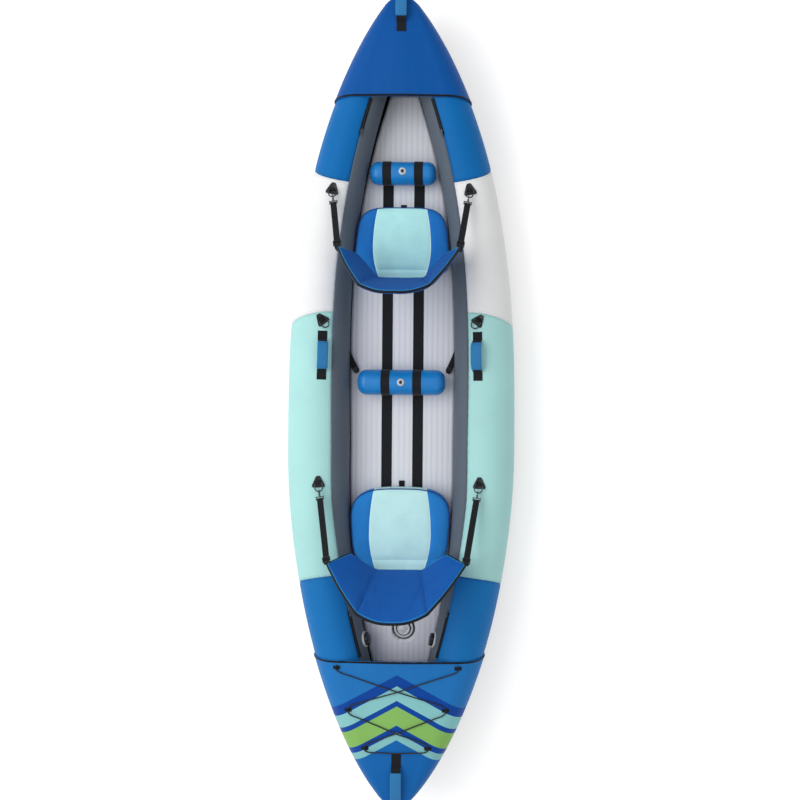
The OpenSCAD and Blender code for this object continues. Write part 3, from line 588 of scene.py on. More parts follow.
def seam_relief(cross, along, run, course):
    """Dip and pucker of cloth: cross and along are distances from the nearest cross seam and long
    seam, run and course the places along those seams."""
    dip = -SEAM_DIP * np.maximum(np.exp(-(cross / (5 * MM)) ** 2), np.exp(-(along / (5 * MM)) ** 2))
    pucker = 0.5 * MM * np.exp(-cross / (22 * MM)) * np.sin(2 * np.pi * run / (34 * MM))
    pucker += 0.5 * MM * np.exp(-along / (22 * MM)) * np.sin(2 * np.pi * course / (38 * MM))
    slow = 0.7 * MM * np.sin(7.3 * course + 4 * run) * np.sin(11 * run + 2.1 * course)
    return dip + pucker + slow


def cover_panel(aft, fore, rows, cols=64, ease=1.0):
    """Grid of one outer panel with its thickness; ease above one crowds rows towards the fore end."""
    a = np.linspace(LOW_A, SEAM_A, cols)[None]
    t = np.linspace(0, 1, rows)[:, None]
    t = 1 - (1 - t) ** ease if ease >= 1 else t ** (1 / ease)
    low = seam_y(aft, a) + 0.2 * MM
    high = seam_y(fore, a) - 0.2 * MM
    y = low + (high - low) * t
    r = tube_rx(y)
    run = np.radians(a) * r
    cross = np.minimum(y - low, high - y)
    along = np.radians(SEAM_A - a) * r
    off = seam_relief(cross, along, run, y)
    marks = np.stack([run, y, np.minimum(cross, along)], -1)
    angle = np.where(a > 0, a * seam_at(y) / SEAM_A, a)
    return shell(tube_pt(y, angle, off), tube_pt(y, angle, off - CLOTH_T), marks)


panels = {
    "bow": (BLUE_WHITE, BOW_END, 130, 1.8, bow_blue_as_lit, "blue_cover"),
    "fore": (WHITE_MINT, BLUE_WHITE, 120, 1.0, white_nylon, "white_cover"),
    "mid": (MINT_BLUE, WHITE_MINT, 190, 1.0, mint_nylon, "mint_cover"),
    "stern": (STERN_END, MINT_BLUE, 150, 1 / 1.8, stern_blue_as_lit, "blue_cover"),
}
for hand, side in HANDS:
    for place, (aft, fore, rows, ease, cloth, slot) in panels.items():
        part = mirrored(cover_panel(aft, fore, rows, ease=ease), side)
        piece(f"{hand}_{place}_cover", [part], cloth, "hull", [f"{hand}_{place}_panel"], slot)
print("covers", 2 * len(panels))

# %% Inner walls and the bladders inside
def inner_wall(rows=260, cols=48):
    """Grey inner wall from the long seam down to the floor's edge."""
    y = ((END - 4 * MM) * np.sin(np.linspace(-np.pi / 2, np.pi / 2, rows)))[:, None]
    seam = seam_at(y) + 0.3
    a = seam + (INNER_A - seam) * np.linspace(0, 1, cols)[None]
    run = np.radians(a - seam) * tube_rx(y)
    off = seam_relief(0 * run + 1, run, run, y)
    marks = np.stack([run, y + 0 * run, run], -1)
    return shell(tube_pt(y, a, off), tube_pt(y, a, off - CLOTH_T), marks)


def bladder(rows=80, cols=40):
    """Vinyl air bladder: the chamber's own form, a few millimetres inside its cover."""
    y = ((END - 9 * MM) * np.sin(np.linspace(-np.pi / 2, np.pi / 2, rows)))[:, None]
    a = np.linspace(0, 360, cols, endpoint=False)[None]
    return body(tube_pt(y, a, -6.5 * MM))


vinyl, tree, shader = finish("bladder_vinyl", Roughness=0.35, IOR=1.53)
cloud = noise(tree, object_place(tree), 9.0, 4.0)
tree.links.new(mixed(tree, cloud, "#2b3137", "#3a4148"), shader.inputs["Base Color"])
for hand, side in HANDS:
    panel, chamber = f"{hand}_inner_panel", f"{hand}_air_chamber"
    piece(f"{hand}_wall", [mirrored(inner_wall(), side)], wall_nylon, "hull", [panel], "grey_wall")
    piece(f"{hand}_bladder", [mirrored(bladder(), side)], vinyl, "hull", [chamber], "air_bladder")

# %% [markdown]
# ## Hull bottom
# The bottom is a heavy coated tarpaulin with a scrim that shows through as small squares. It runs flat
# under the floor and up round each chamber, where it laps over the covers. A sheet bent round the
# section is enough; the scrim is a bump of 4 mm squares.

# %% Hull bottom
BOTTOM_T = 3 * MM
tarpaulin, tree, shader = finish("scrim_tarpaulin", Roughness=0.5, IOR=1.53)
place = object_place(tree)
split = xyz(tree, place)
scrim = threads(tree, 8 * MM, split[0], split[1])
grit = noise(tree, place, 60.0, 6.0)
scuff = noise(tree, place, 7.0, 5.0, Distortion=0.6)
worn = ramped(tree, scuff, 0.55, 0.8)
tree.links.new(mixed(tree, worn, "#23272c", "#41464c"), shader.inputs["Base Color"])
bumped(tree, shader, math(tree, "ADD", scrim, grit), 0.3, 0.4 * MM)


def bottom_section(y, off, cols=30):
    """Half section of the bottom: flat to the chamber's foot, then round its lower outer quarter."""
    flat = np.linspace(0, 1, 10)[None]
    keel = np.stack([foot_x(y) * flat, y + 0 * flat, keel_z(y) + BOTTOM_T - off + 0 * flat], -1)
    a = np.linspace(-90, -27, cols)[None]
    lap = 0.5 * MM + 1.2 * MM * np.clip((a + 54) / 27, 0, 1)
    return np.concatenate([keel, tube_pt(y, a, lap + off)], 1)


def two_sided(half):
    """Section completed by its mirror image, from port to starboard."""
    return np.concatenate([half[:, :0:-1] * np.array([-1, 1, 1]), half], 1)


bottom_y = (END * np.sin(np.linspace(-np.pi / 2, np.pi / 2, 140)))[:, None]
bottom = shell(two_sided(bottom_section(bottom_y, BOTTOM_T)), two_sided(bottom_section(bottom_y, 0.0)))
piece("hull_bottom_skin", [bottom], tarpaulin, "hull", ["hull_bottom"], "hull_skin")
print("hull bottom", len(bottom[0]), "points")

# %% [markdown]
# ## Air floor
# The floor is an air mat welded in long ribs about 23 mm apart. Its height is the top less a rounded
# valley between ribs, worked out from the real place across, so the ribs stay parallel while the
# outline narrows. Vinyl is smooth and slightly shiny; the valleys are painted a darker lavender grey
# in slow patches, as painted shade.

# %% Air floor
FLOOR_LOW = 3.4 * MM
FLOOR_FORE = 1288 * MM
FLOOR_AFT = -1104 * MM
RIB = 23 * MM
FLOOR_VALVE = np.array([12 * MM, -954 * MM, FLOOR_TOP - 14 * MM])
VALVE_HOLE = 45.5 * MM


def floor_half(y):
    """Half width of the floor, clear of the chambers."""
    return np.minimum(foot_x(y) - 6 * MM, side_x(y, FLOOR_TOP) - 3 * MM)


def rib_height(x):
    """Valley depth across the ribs: high in the middle of a rib, about a millimetre down at a weld."""
    crest = np.abs(np.cos(np.pi * x / RIB)) ** 0.55
    return 0.9 * MM * (crest - 1)


def air_floor(rows=170, cols=260):
    """Closed mat: ribbed top, round edges, flat bottom, and a round dip for the valve."""
    t = np.linspace(0, 1, rows)[:, None]
    y = FLOOR_AFT + (FLOOR_FORE - FLOOR_AFT) * (1 - np.cos(np.pi * t)) / 2
    u = np.sin(np.linspace(-np.pi / 2, np.pi / 2, cols))[None] * 0.25 + np.linspace(-1, 1, cols)[None] * 0.75
    x = u * floor_half(y)
    rim = np.minimum(floor_half(y) - np.abs(x), np.minimum(y - FLOOR_AFT, FLOOR_FORE - y))
    round_off = 16 * MM * (1 - np.sqrt(1 - (1 - np.clip(rim / (16 * MM), 0, 1)) ** 2))
    far = np.hypot(x - FLOOR_VALVE[0], y - FLOOR_VALVE[1])
    dip = 15 * MM * (1 - np.clip((far - VALVE_HOLE) / (5 * MM), 0, 1))
    top = FLOOR_TOP + rib_height(x) * np.clip((far - VALVE_HOLE) / (20 * MM), 0, 1) - round_off - dip
    low = FLOOR_LOW + round_off
    marks = np.stack([x, y + 0 * x, rib_height(x)], -1)
    return shell(np.stack([x, y + 0 * x, top], -1), np.stack([x, y + 0 * x, low], -1), marks)


floor_vinyl, tree, shader = finish("welded_floor_vinyl", Roughness=0.42, IOR=1.53)
place = object_place(tree)
valley = ramped(tree, cloth_marks(tree)[2], 0.0, -1.2 * MM)
# painted shade: the rib valleys are darkened to a lavender grey, in slow patches
painted_valley_shade = math(tree, "MULTIPLY", valley, noise(tree, place, 6.0, 4.0))
tree.links.new(mixed(tree, painted_valley_shade, "#e6e8ef", "#c6c5d3"), shader.inputs["Base Color"])
bumped(tree, shader, noise(tree, place, 700.0, 1.0), 0.12, 0.2 * MM)
piece("ribbed_floor", [air_floor()], floor_vinyl, "hull", ["air_floor"], "floor_vinyl")
print("floor ribs", int(2 * float(floor_half(np.float64(WIDEST))) / RIB))

# %% [markdown]
# ## Decks and nose caps
# Each deck is cloth drawn round both chambers and nearly flat between them, with a low crown, so its
# section is the chambers' own outer quarters joined by a gentle rise. The stern deck is printed with
# plain chevrons. Both tips end in a cap whose section is the whole boat's, shrunk towards the nose.

# %% Deck surfaces
DECK_GAP = 3 * MM
DECK_T = 2.5 * MM
CROWN = 8 * MM
CROWN_BASE = 200 * MM
BOW_DECK = 1225 * MM
STERN_DECK = -1043 * MM


def deck_z(x, y, off):
    """Height of a deck: the chamber's own round outside its middle line, and between the two lines a
    low crown that fades as the square of one less the square of the share across."""
    out = np.clip((np.abs(x) - tube_x(y)) / (tube_rx(y) + DECK_GAP + off), 0, 1)
    share = np.clip(np.abs(x) / tube_x(y), 0, 1)
    crown = CROWN * tube_x(y) / CROWN_BASE * (1 - share ** 2) ** 2
    return tube_z(y) + (tube_rz(y) + DECK_GAP + off) * np.sqrt(1 - out ** 2) + crown


def deck_section(y, off, cols=96):
    """Section of a deck: up round the starboard chamber, over the crown, and down the port chamber."""
    rail = tube_pt(y, np.linspace(-22, 90, cols // 3)[None], DECK_GAP + off)
    x = np.linspace(1, -1, cols // 2)[None, 1:-1] * tube_x(y)
    crown = np.stack([x, y + 0 * x, deck_z(x, y, off)], -1)
    return np.concatenate([rail, crown, rail[:, ::-1] * np.array([-1, 1, 1])], 1)


def deck_sheet(edge, tip, rows):
    """Deck cloth from its bound edge to the nose cap, with soft drag lines behind the edge."""
    t = np.linspace(0, 1, rows)[:, None]
    y = edge + (tip - edge) * np.sin(t * np.pi / 2)
    grid = deck_section(y, 0.0)
    back = np.abs(y - edge)
    run = grid[..., 0]
    pull = 0.7 * MM * np.exp(-back / (60 * MM)) * np.sin(2 * np.pi * run / (52 * MM))
    slow = 0.8 * MM * np.sin(23 * run + 3) * np.sin(9 * y + 1)
    lift = (pull + slow)[..., None] * UP
    marks = np.stack([run, y + 0 * run, back + 0 * run], -1)
    return shell(deck_section(y, DECK_T) + lift, grid + lift, marks)


bow_sheet = deck_sheet(BOW_DECK, END, 90)
piece("bow_deck_cloth", [bow_sheet], deck_blue, "hull", ["bow_deck"], "bow_deck_cloth")
print("bow deck", len(bow_sheet[0]), "points")

# %% Printed stern deck
CHEVRON_FROM = -1.40
CHEVRON_TO = -1.02
CHEVRON_SLANT = 0.55
printed = coated_nylon("printed_deck_nylon", "#296eb5", "#174f86")
tree, dye = dye_of(printed)
split = xyz(tree, object_place(tree))
out = math(tree, "MULTIPLY", math(tree, "ABSOLUTE", split[0]), CHEVRON_SLANT)
slant = math(tree, "ADD", split[1], out)
share = ramped(tree, slant, CHEVRON_FROM, CHEVRON_TO)
ramp = node(tree, "ValToRGB", {"Fac": share})
ramp.color_ramp.interpolation = "CONSTANT"
bands = [(0.0, "#0f69b6"), (0.12, "#89c8cb"), (0.20, "#0448a4"), (0.27, "#8ec466"), (0.47, "#0448a4"),
         (0.53, "#8fd0d2"), (0.68, "#0448a4"), (0.80, "#2079c3")]
for k, (start, colour) in enumerate(bands):
    stop = ramp.color_ramp.elements[k] if k < 2 else ramp.color_ramp.elements.new(start)
    stop.position = start
    stop.color = linear(colour)
tree.links.new(ramp.outputs["Color"], dye.inputs["Color"])
stern_sheet = deck_sheet(STERN_DECK, -END, 120)
piece("stern_deck_cloth", [stern_sheet], printed, "hull", ["stern_deck"], "stern_deck_cloth")
print("stern deck bands", len(bands))

# %% Nose caps
NOSE_MID = 0.58


def nose_tall(s):
    """Share of the height left at share s of a nose: a tenth, and the root of one less a power."""
    return 0.1 + 0.9 * np.sqrt(np.maximum(0, 1 - s ** 1.7))


def nose_cap(way, rows=34):
    """Cap over a tip: the boat's own outer section at the last station, narrowed by a power of the way
    left to go, and lowered by a rounder one."""
    y = np.array([[way * END]])
    upper = deck_section(y, DECK_T + 0.6 * MM, 60)[0]
    lower = two_sided(bottom_section(y, BOTTOM_T + 0.6 * MM))[0]
    ring = np.concatenate([upper, lower])
    s = np.concatenate([[0.0], np.cos(np.linspace(0, np.pi / 2, rows))[::-1]])
    mid = ring[:, 2].min() + NOSE_MID * np.ptp(ring[:, 2])
    wide = 0.08 + 0.92 * (1 - s) ** (0.95 if way > 0 else 0.7)
    tall = nose_tall(s)
    place = way * (END + (HALF - 1 * MM - END) * s)
    place[0] = way * (END - 7 * MM)
    grid = np.empty((len(s), len(ring), 3))
    grid[..., 0] = wide[:, None] * ring[:, 0]
    grid[..., 1] = place[:, None]
    grid[..., 2] = mid + tall[:, None] * (ring[:, 2] - mid)
    marks = np.stack([grid[..., 0], grid[..., 2], np.abs(grid[..., 1] - place[0])], -1)
    return body(grid, marks)


tip_blue = coated_nylon("stern_tip_nylon", "#1069bd", "#174f86")
piece("bow_nose", [nose_cap(1)], deck_blue, "hull", ["bow_nose_cap"], "bow_deck_cloth")
piece("stern_nose", [nose_cap(-1)], tip_blue, "hull", ["stern_nose_cap"], "stern_deck_cloth")

# %% [markdown]
# ## Webbing and binding tape
# Straps, handles and loops are black polyester webbing: fine ribs run along it and it has a dull sheen.
# Ribs are drawn 3 mm apart. Binding tape round cloth edges is the same yarn in a finer, cross-ribbed
# weave. Both read the marks of the sweep, so the ribs follow every bend.

# %% Webbing and tape finishes
def woven_tape(name, colour, lines, ribs, rough=0.7):
    """Woven band: ribs along it, a finer weave across it and slightly faded edges."""
    made, tree, shader = finish(name, Roughness=rough, IOR=1.5, Specular_IOR_Level=0.2, Sheen_Weight=0.1,
                                Sheen_Roughness=0.4)
    cloth = node(tree, "Attribute", {}, attribute_name="cloth").outputs["Vector"]
    split = xyz(tree, cloth)
    across = math(tree, "MULTIPLY", wave(tree, split[1], ribs), 0.6)
    bumped(tree, shader, math(tree, "ADD", wave(tree, split[0], lines), across), 0.6, 0.25 * MM)
    fade = ramped(tree, split[2], 2.5 * MM, 0.0)
    worn = math(tree, "MULTIPLY", math(tree, "ADD", fade, 0.4), noise(tree, cloth, 300.0, 2.0))
    tree.links.new(mixed(tree, worn, colour, dyed(tree, colour, 1.9)), shader.inputs["Base Color"])
    return made


webbing = woven_tape("black_polyester_webbing", "#16181c", 3 * MM, 2.2 * MM)
binding = woven_tape("black_binding_tape", "#0e1013", 6 * MM, 1.8 * MM, 0.65)
sky_tape = woven_tape("teal_piping_tape", "#2f86b0", 4 * MM, 1.6 * MM, 0.6)
WEB_T = 1.6 * MM


def deck_binding(edge, way):
    """Tape folded over a deck's edge: a flat oval carried along the edge section."""
    y = np.array([[edge + way * 5 * MM]])
    path = deck_section(y, DECK_T / 2, 150)[0]
    y2 = y + way * 6 * MM
    forward = unit(deck_section(y2, DECK_T / 2, 150)[0] - path)
    out = np.cross(unit(np.gradient(path, axis=0)), forward)
    return sweep(path, out, outline(8 * MM, 6 * MM, 0.6))


piece("deck_edge_tape", [deck_binding(BOW_DECK, 1), deck_binding(STERN_DECK, -1)], binding, "hull",
      ["deck_bindings"], "black_webbing")
print("bindings done")

# %% [markdown]
# ## Zips
# Four zips close the covers over the chambers. A zip is two woven tapes with a coil between them. The
# tape follows the long seam, so it is carried along the seam with the chamber's outward direction as
# up, and the coil is a row of small ribs in its bump.

# %% Zip tapes
BOW_ZIP = (1085 * MM, 1223 * MM)
STERN_ZIP = (-854 * MM, -1040 * MM)
coil, tree, shader = finish("nylon_zip_coil", Roughness=0.45, IOR=1.53)
teeth = wave(tree, cloth_marks(tree)[1], 3 * MM)
glint = ramped(tree, teeth, -1.0, 1.0)
tree.links.new(mixed(tree, glint, "#0d0e11", "#2c3036"), shader.inputs["Base Color"])
bumped(tree, shader, teeth, 0.8, 0.6 * MM)


def seam_line(zip_ends, lift, count=60):
    """Line along the long seam between two places, raised off the cover, and its outward direction."""
    y = np.linspace(*zip_ends, count)
    low = tube_pt(y, seam_at(y), lift)
    return low, unit(tube_pt(y, seam_at(y), lift + 10 * MM) - low)


tapes, coils = [], []
for zip_ends in (BOW_ZIP, STERN_ZIP):
    path, out = seam_line(zip_ends, 1.6 * MM)
    flat = sweep(path, out, outline(14 * MM, 1.4 * MM))
    ridge = sweep(path + out * 1.0 * MM, out, outline(5 * MM, 2.4 * MM, 0.7))
    tapes += both([flat])
    coils += both([ridge])
piece("zip_tape", tapes, binding, "hull", ["zip_tapes"], "black_webbing")
piece("zip_coil", coils, coil, "hull", slot="black_webbing")
print("zips", len(tapes))

# %% [markdown]
# ## Moulded fittings
# Buckles, hooks, patches and valve caps are moulded nylon or acetal: black, slightly uneven gloss from
# the mould's fine spark grain, and paler rubbed edges. Rings are coated steel. The grain is drawn half
# a millimetre wide.

# %% Moulded plastic and coated steel
def moulded(name, colour, rough):
    """Moulded plastic: spark grain bump and a slow change of gloss."""
    made, tree, shader = finish(name, Roughness=rough, IOR=1.5)
    place = object_place(tree)
    cloud = noise(tree, place, 70.0, 3.0)
    bumped(tree, shader, noise(tree, place, 1500.0, 2.0), 0.15, 0.15 * MM)
    tree.links.new(scaled(tree, cloud, 0.2, rough - 0.1), shader.inputs["Roughness"])
    tree.links.new(dyed(tree, colour, scaled(tree, cloud, 0.5, 0.75)), shader.inputs["Base Color"])
    return made


black_plastic = moulded("moulded_black_acetal", "#131518", 0.42)
pale_plastic = moulded("moulded_pale_vinyl", "#d3d7da", 0.38)
grey_plastic = moulded("moulded_grey_nylon", "#4a4f55", 0.45)
steel, tree, shader = finish("blackened_steel", Roughness=0.35, Metallic=1.0)
rub = noise(tree, object_place(tree), 160.0, 4.0)
rubbed = ramped(tree, rub, 0.45, 0.75)
tree.links.new(mixed(tree, rubbed, "#3c4046", "#7d838a"), shader.inputs["Base Color"])
tree.links.new(scaled(tree, rub, 0.3, 0.2), shader.inputs["Roughness"])

# %% [markdown]
# ## Rings and their patches
# Six D-rings are held to the covers by moulded arrowhead patches, welded flat. A patch is an outline
# that shrinks to its middle while it rises, which gives the rounded rim of a moulding. The ring is a
# round bar carried round a D, and a short webbing keeper wraps its straight side.

# %% Patches, keepers and rings
RING_H = 8 * MM
RING_W = 18 * MM
RING_R = 2.5 * MM
FRONT_RING = (857 * MM, 90)
REAR_RING = (-326 * MM, 97.5)
SPARE_RING = (332 * MM, 101)
patch_corners = np.array([(-24, -17), (24, -17), (26, -8), (8, 30), (-8, 30), (-26, -8)]) * MM
arrow = np.concatenate([smooth_path(patch_corners[[k, (k + 1) % 6]], 12)[:-1] for k in range(6)])
arrow = 0.5 * arrow + 0.25 * (np.roll(arrow, 2, 0) + np.roll(arrow, -2, 0))


def patch(frame4):
    """Arrowhead patch: rim rolled down to the cover, a raised border and a slightly lower field."""
    share = np.array([0.98, 1.0, 1.0, 0.985, 0.95, 0.86, 0.8, 0.76, 0.5, 0.2])[:, None]
    high = np.array([0.2, 0.6, 1.4, 2.2, 2.6, 2.7, 2.4, 2.0, 2.0, 2.0])[:, None] * MM
    middle = arrow.mean(0)
    local = np.empty((10, len(arrow), 3))
    local[..., :2] = middle + share[..., None] * (arrow - middle)
    local[..., 2] = high
    return body(set_on(local, frame4))


def d_ring(frame4):
    """Round bar along a D: a straight bar on local X and a half circle beyond it."""
    t = np.linspace(0, np.pi, 33)
    r = RING_W - RING_R
    bow = np.stack([r * np.cos(t), RING_W + r * np.sin(t), 0 * t], -1)
    leg = np.linspace(0, 1, 8)[1:-1]
    corner = np.array([[-r, 0.5 * MM, 0], [-r + 1 * MM, 0, 0], [r - 1 * MM, 0, 0], [r, 0.5 * MM, 0]])
    down = np.stack([0 * leg - r, RING_W * (1 - leg), 0 * leg], -1)
    rise = np.stack([0 * leg + r, RING_W * leg, 0 * leg], -1)
    path = set_on(np.concatenate([bow, down, corner, rise]), frame4)
    return sweep(path, frame4[3], outline(2 * RING_R, 2 * RING_R, 1.0, 16), ring=True)


def keeper(frame4):
    """Webbing keeper: a band once round the ring's bar and down to the patch on both sides."""
    t = np.radians(np.linspace(-60, 240, 26))
    r = RING_R + 0.6 * MM + WEB_T / 2
    wrap = np.stack([0 * t, -r * np.cos(t), r * np.sin(t)], -1)
    foot = np.array([[0, -15, 0], [0, -11, 0], [0, -7, 0.2]]) * MM
    foot[:, 2] += 3.6 * MM - RING_H
    path = smooth_path(np.concatenate([foot, wrap, foot[::-1] + WEB_T * UP]), 70)
    return bent_band(path, frame4, frame4[1], outline(22 * MM, WEB_T, 0.35, 16))


rings_fixed, patches, keepers = [], [], []
BACK_GAP = 17 * MM
SEAT_Z = 97.4 * MM
CUSHION_T = 90 * MM
HINGE_Z = SEAT_Z + CUSHION_T + 2 * MM
seats = {
    "front": dict(y=809 * MM, depth=286 * MM, ring=FRONT_RING, mint=np.array([98, 119, 92]) * MM, corner=0.46,
                  form=np.array([(240, 106, 165), (132, -63, 374), (0, -91, 398), (182, 94, 66)]) * MM),
    "rear": dict(y=-347 * MM, depth=326 * MM, ring=REAR_RING, mint=np.array([107, 127, 100]) * MM, corner=0.62,
                 form=np.array([(273, 57, 170), (133, -90, 372), (0, -122, 396), (200, 79, 62)]) * MM),
}
for seat in seats.values():
    seat["hinge"] = np.array([0, seat["y"] - seat["depth"] - BACK_GAP, HINGE_Z])
    seat["base"] = seat["hinge"] + 4.6 * MM * UP
    seat["from"] = tube_pt(*seat["ring"], RING_H)
    seat["to"] = seat["base"] + seat["form"][0]
    seat["line"] = line_frame(seat["from"], seat["to"])
    patches.append(patch(tube_frame(*seat["ring"])))
    keepers.append(keeper(seat["line"]))
    rings_fixed.append(d_ring(seat["line"]))
patches.append(patch(tube_frame(*SPARE_RING, -40)))
spare_frame = moved(tube_frame(*SPARE_RING, 140), 3, RING_H)
keepers.append(keeper(spare_frame))
piece("ring_patch_mouldings", both(patches), black_plastic, "hull", ["ring_patches"], "black_plastic")
piece("ring_keepers", both(keepers), webbing, "hull", slot="black_webbing")
piece("strap_d_rings", both(rings_fixed), steel, "hull", ["strap_rings"], "ring_steel")
spare = d_ring(spare_frame)
for hand, side in HANDS:
    name = f"{hand}_spare_ring"
    piece(f"{hand}_free_d_ring", [mirrored(spare, side)], steel, name, [name], "ring_steel")
print("rings", len(rings_fixed) * 2 + 2, "patches", len(patches) * 2)

# %% [markdown]
# ## Snap hooks, straps and buckles
# A strap runs from a swivel snap hook at the ring to a ladder buckle at the tip of a seat's wing. The
# hook is a wire eye with a swivel post, and the strap is sewn round its slot. The buckle and the strap's
# loose tail ride on the back; the strap itself stays fixed.

# %% Hooks, straps and buckles
STRAP_W = 25 * MM
HOOK_AT = 2 * RING_W - RING_R
STRAP_AT = HOOK_AT + 34 * MM
TIP_GAP = 5 * MM


def snap_hook(frame4):
    """Hook in its line's frame: a wire eye that hangs in the ring, a swivel post and a strap slot."""
    t = angles(40)
    eye = np.stack([0 * t, HOOK_AT + 2 * MM + 8 * MM * np.cos(t), 8 * MM * np.sin(t)], -1)
    loop = sweep(set_on(eye, frame4), frame4[1], outline(4 * MM, 4.4 * MM, 0.8, 16), ring=True)
    rows = [(0.5, 9), (3.4, 9), (4.2, 10), (4.2, 13), (3, 14), (3, 16), (4.6, 17), (4.6, 20), (3.6, 21.5),
            (0.5, 21.5)]
    post = turned(rows, 24)[..., [0, 2, 1]] + np.array([0, HOOK_AT, 0])
    half = np.array([(-14, 22), (14, 22), (14, 32), (-14, 32)]) * MM
    slot = np.concatenate([half, np.zeros((4, 1))], 1) + np.array([0, HOOK_AT, 0])
    frame_path = set_on(smooth_path(np.repeat(slot, 2, 0), 48, True), frame4)
    bar = sweep(frame_path, frame4[3], outline(4 * MM, 4 * MM, 0.7, 12), ring=True)
    return [loop, body(set_on(post, frame4)), bar]


def strap(frame4, length):
    """Strap from the slot to the buckle with a sewn double layer by the hook and a slight sag."""
    y = np.linspace(STRAP_AT - 7 * MM, length - TIP_GAP - 8 * MM, 60)
    s = (y - y[0]) / (y[-1] - y[0])
    line = np.stack([0 * y, y, -2.5 * MM * np.sin(np.pi * s)], -1)
    main = sweep(set_on(line, frame4), frame4[3], outline(STRAP_W, WEB_T, 0.3, 20))
    double = line[:22] + WEB_T * UP
    layer = sweep(set_on(double, frame4), frame4[3], outline(STRAP_W - 1 * MM, WEB_T * 0.9, 0.3, 20))
    return [main, layer]


def ladder_buckle(frame4, length):
    """Ladder buckle: two rails joined by three bars."""
    rails = [((3.4, 24, 6.4), (x, 0, 0), 0.35, 16) for x in (-14.2, 14.2)]
    bar = (STRAP_W / MM + 6, 3.6, 3.6)
    bars = [(bar, (0, y, z), 0.5, 16) for y, z in ((-10, 2.6), (0, -2.4), (10, 2.4))]
    return blocks(rails + bars, moved(frame4, 2, length - TIP_GAP - 12 * MM))


def buckle_tail(frame4, length):
    """Loose end of the strap, from the buckle down and back under its own weight."""
    middle = np.array([0, length - TIP_GAP - 14 * MM, 0])
    path = np.array([(0, 2, 3.2), (0, 9, 3.4), (0, 16, 1), (0, 19, -8), (0, 17, -20), (1, 13, -34),
                     (2, 11, -46)])
    band = outline(STRAP_W - 2 * MM, WEB_T * 0.9, 0.3, 16)
    return bent_band(smooth_path(path * MM + middle, 40), frame4, frame4[1], band)


hooks = []
for name, seat in seats.items():
    length = float(np.linalg.norm(seat["to"] - seat["from"]))
    hooks += snap_hook(seat["line"])
    back_body = f"{name}_seat_back"
    for hand, side in HANDS:
        turn = np.array([side, 1, 1])
        made = piece(f"{name}_{hand}_webbing_strap", [mirrored(p, side) for p in strap(seat["line"], length)],
                     webbing, None, [f"{name}_{hand}_strap"], "black_webbing")
        start = set_on(np.array([0, STRAP_AT, 0]), seat["line"]) * turn
        stop = set_on(np.array([0, length - TIP_GAP - 26 * MM, 0]), seat["line"]) * turn
        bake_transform(made)
    piece(f"{name}_ladder_buckles", both(ladder_buckle(seat["line"], length)), black_plastic, back_body,
          [f"{name}_strap_buckles"], "black_plastic")
    tails = both([buckle_tail(seat["line"], length)])
    piece(f"{name}_strap_tails", tails, webbing, back_body, slot="black_webbing")
piece("swivel_hooks", both(hooks), grey_plastic, "hull", ["snap_hooks"], "black_plastic")
print("straps", 4, "hook parts", len(hooks) * 2)

# %% [markdown]
# ## Seat cushions
# A cushion is foam in a sewn cloth cover: a crowned top, sides that bulge between two edges, and a mint
# centre panel between blue sides. A formula gives a slightly slack form that the chambers leave room
# for, and a cloth simulation fills it, held along the seams. The seams are then pressed in as grooves,
# and a cord edge runs round the top.

# %% Padded cloth finishes
def padded_cloth(name, colour, weave=2.4 * MM, rough=0.75):
    """Seat cloth: coarse two-yarn weave with a soft sheen and little mirror light."""
    made, tree, shader = finish(name, Roughness=rough, IOR=1.5, Specular_IOR_Level=0.15, Sheen_Weight=0.03,
                                Sheen_Roughness=0.5)
    place = object_place(tree)
    split = xyz(tree, place)
    slow = math(tree, "MULTIPLY", noise(tree, place, 14.0, 4.0), 0.22)
    fine = math(tree, "MULTIPLY", noise(tree, place, 500.0, 1.0), 0.16)
    value = math(tree, "ADD", math(tree, "ADD", slow, fine), 0.81)
    tree.links.new(dyed(tree, colour, value), shader.inputs["Base Color"])
    height = threads(tree, weave, split[0], math(tree, "ADD", split[1], split[2]))
    bumped(tree, shader, height, 0.4, 0.4 * MM)
    return made


SEAT_W = 446 * MM
MINT_WIDEST = 0.57


def mint_half(seat, y):
    """Half width of the centre panel: two parabolas that meet where it is widest, as far as the hinge."""
    front, middle, rear = seat["mint"]
    aft = np.clip((seat["y"] - y) / (seat["depth"] + BACK_GAP), 0, 1) - MINT_WIDEST
    ahead = middle - (middle - front) * (aft / MINT_WIDEST) ** 2
    behind = middle - (middle - rear) * (aft / (1 - MINT_WIDEST)) ** 2
    return np.where(aft < 0, ahead, behind)


def two_tone(made, second):
    """Adds a second colour where the third cloth mark, the distance into the centre panel, is positive."""
    tree, dye = dye_of(made)
    depth = cloth_marks(tree)[2]
    inside = math(tree, "GREATER_THAN", depth, 0.0)
    edge = math(tree, "COMPARE", depth, 2 * MM)
    edge.node.inputs[2].default_value = 2 * MM
    panel = mixed(tree, inside, dye.inputs["Color"].default_value, second)
    tree.links.new(mixed(tree, edge, panel, "#dcffff"), dye.inputs["Color"])
    return made


def painted_fold_shade(made):
    """Paints shade into the cloth in the two folds, where the third cloth mark, twice the way off a fold, is
    small.
    """
    tree, dye = dye_of(made)
    shade = ramped(tree, cloth_marks(tree)[2], 0.004, 0.014, 0.55)
    tree.links.new(dyed(tree, dye.inputs["Color"].default_value, shade), dye.inputs["Color"])
    return made
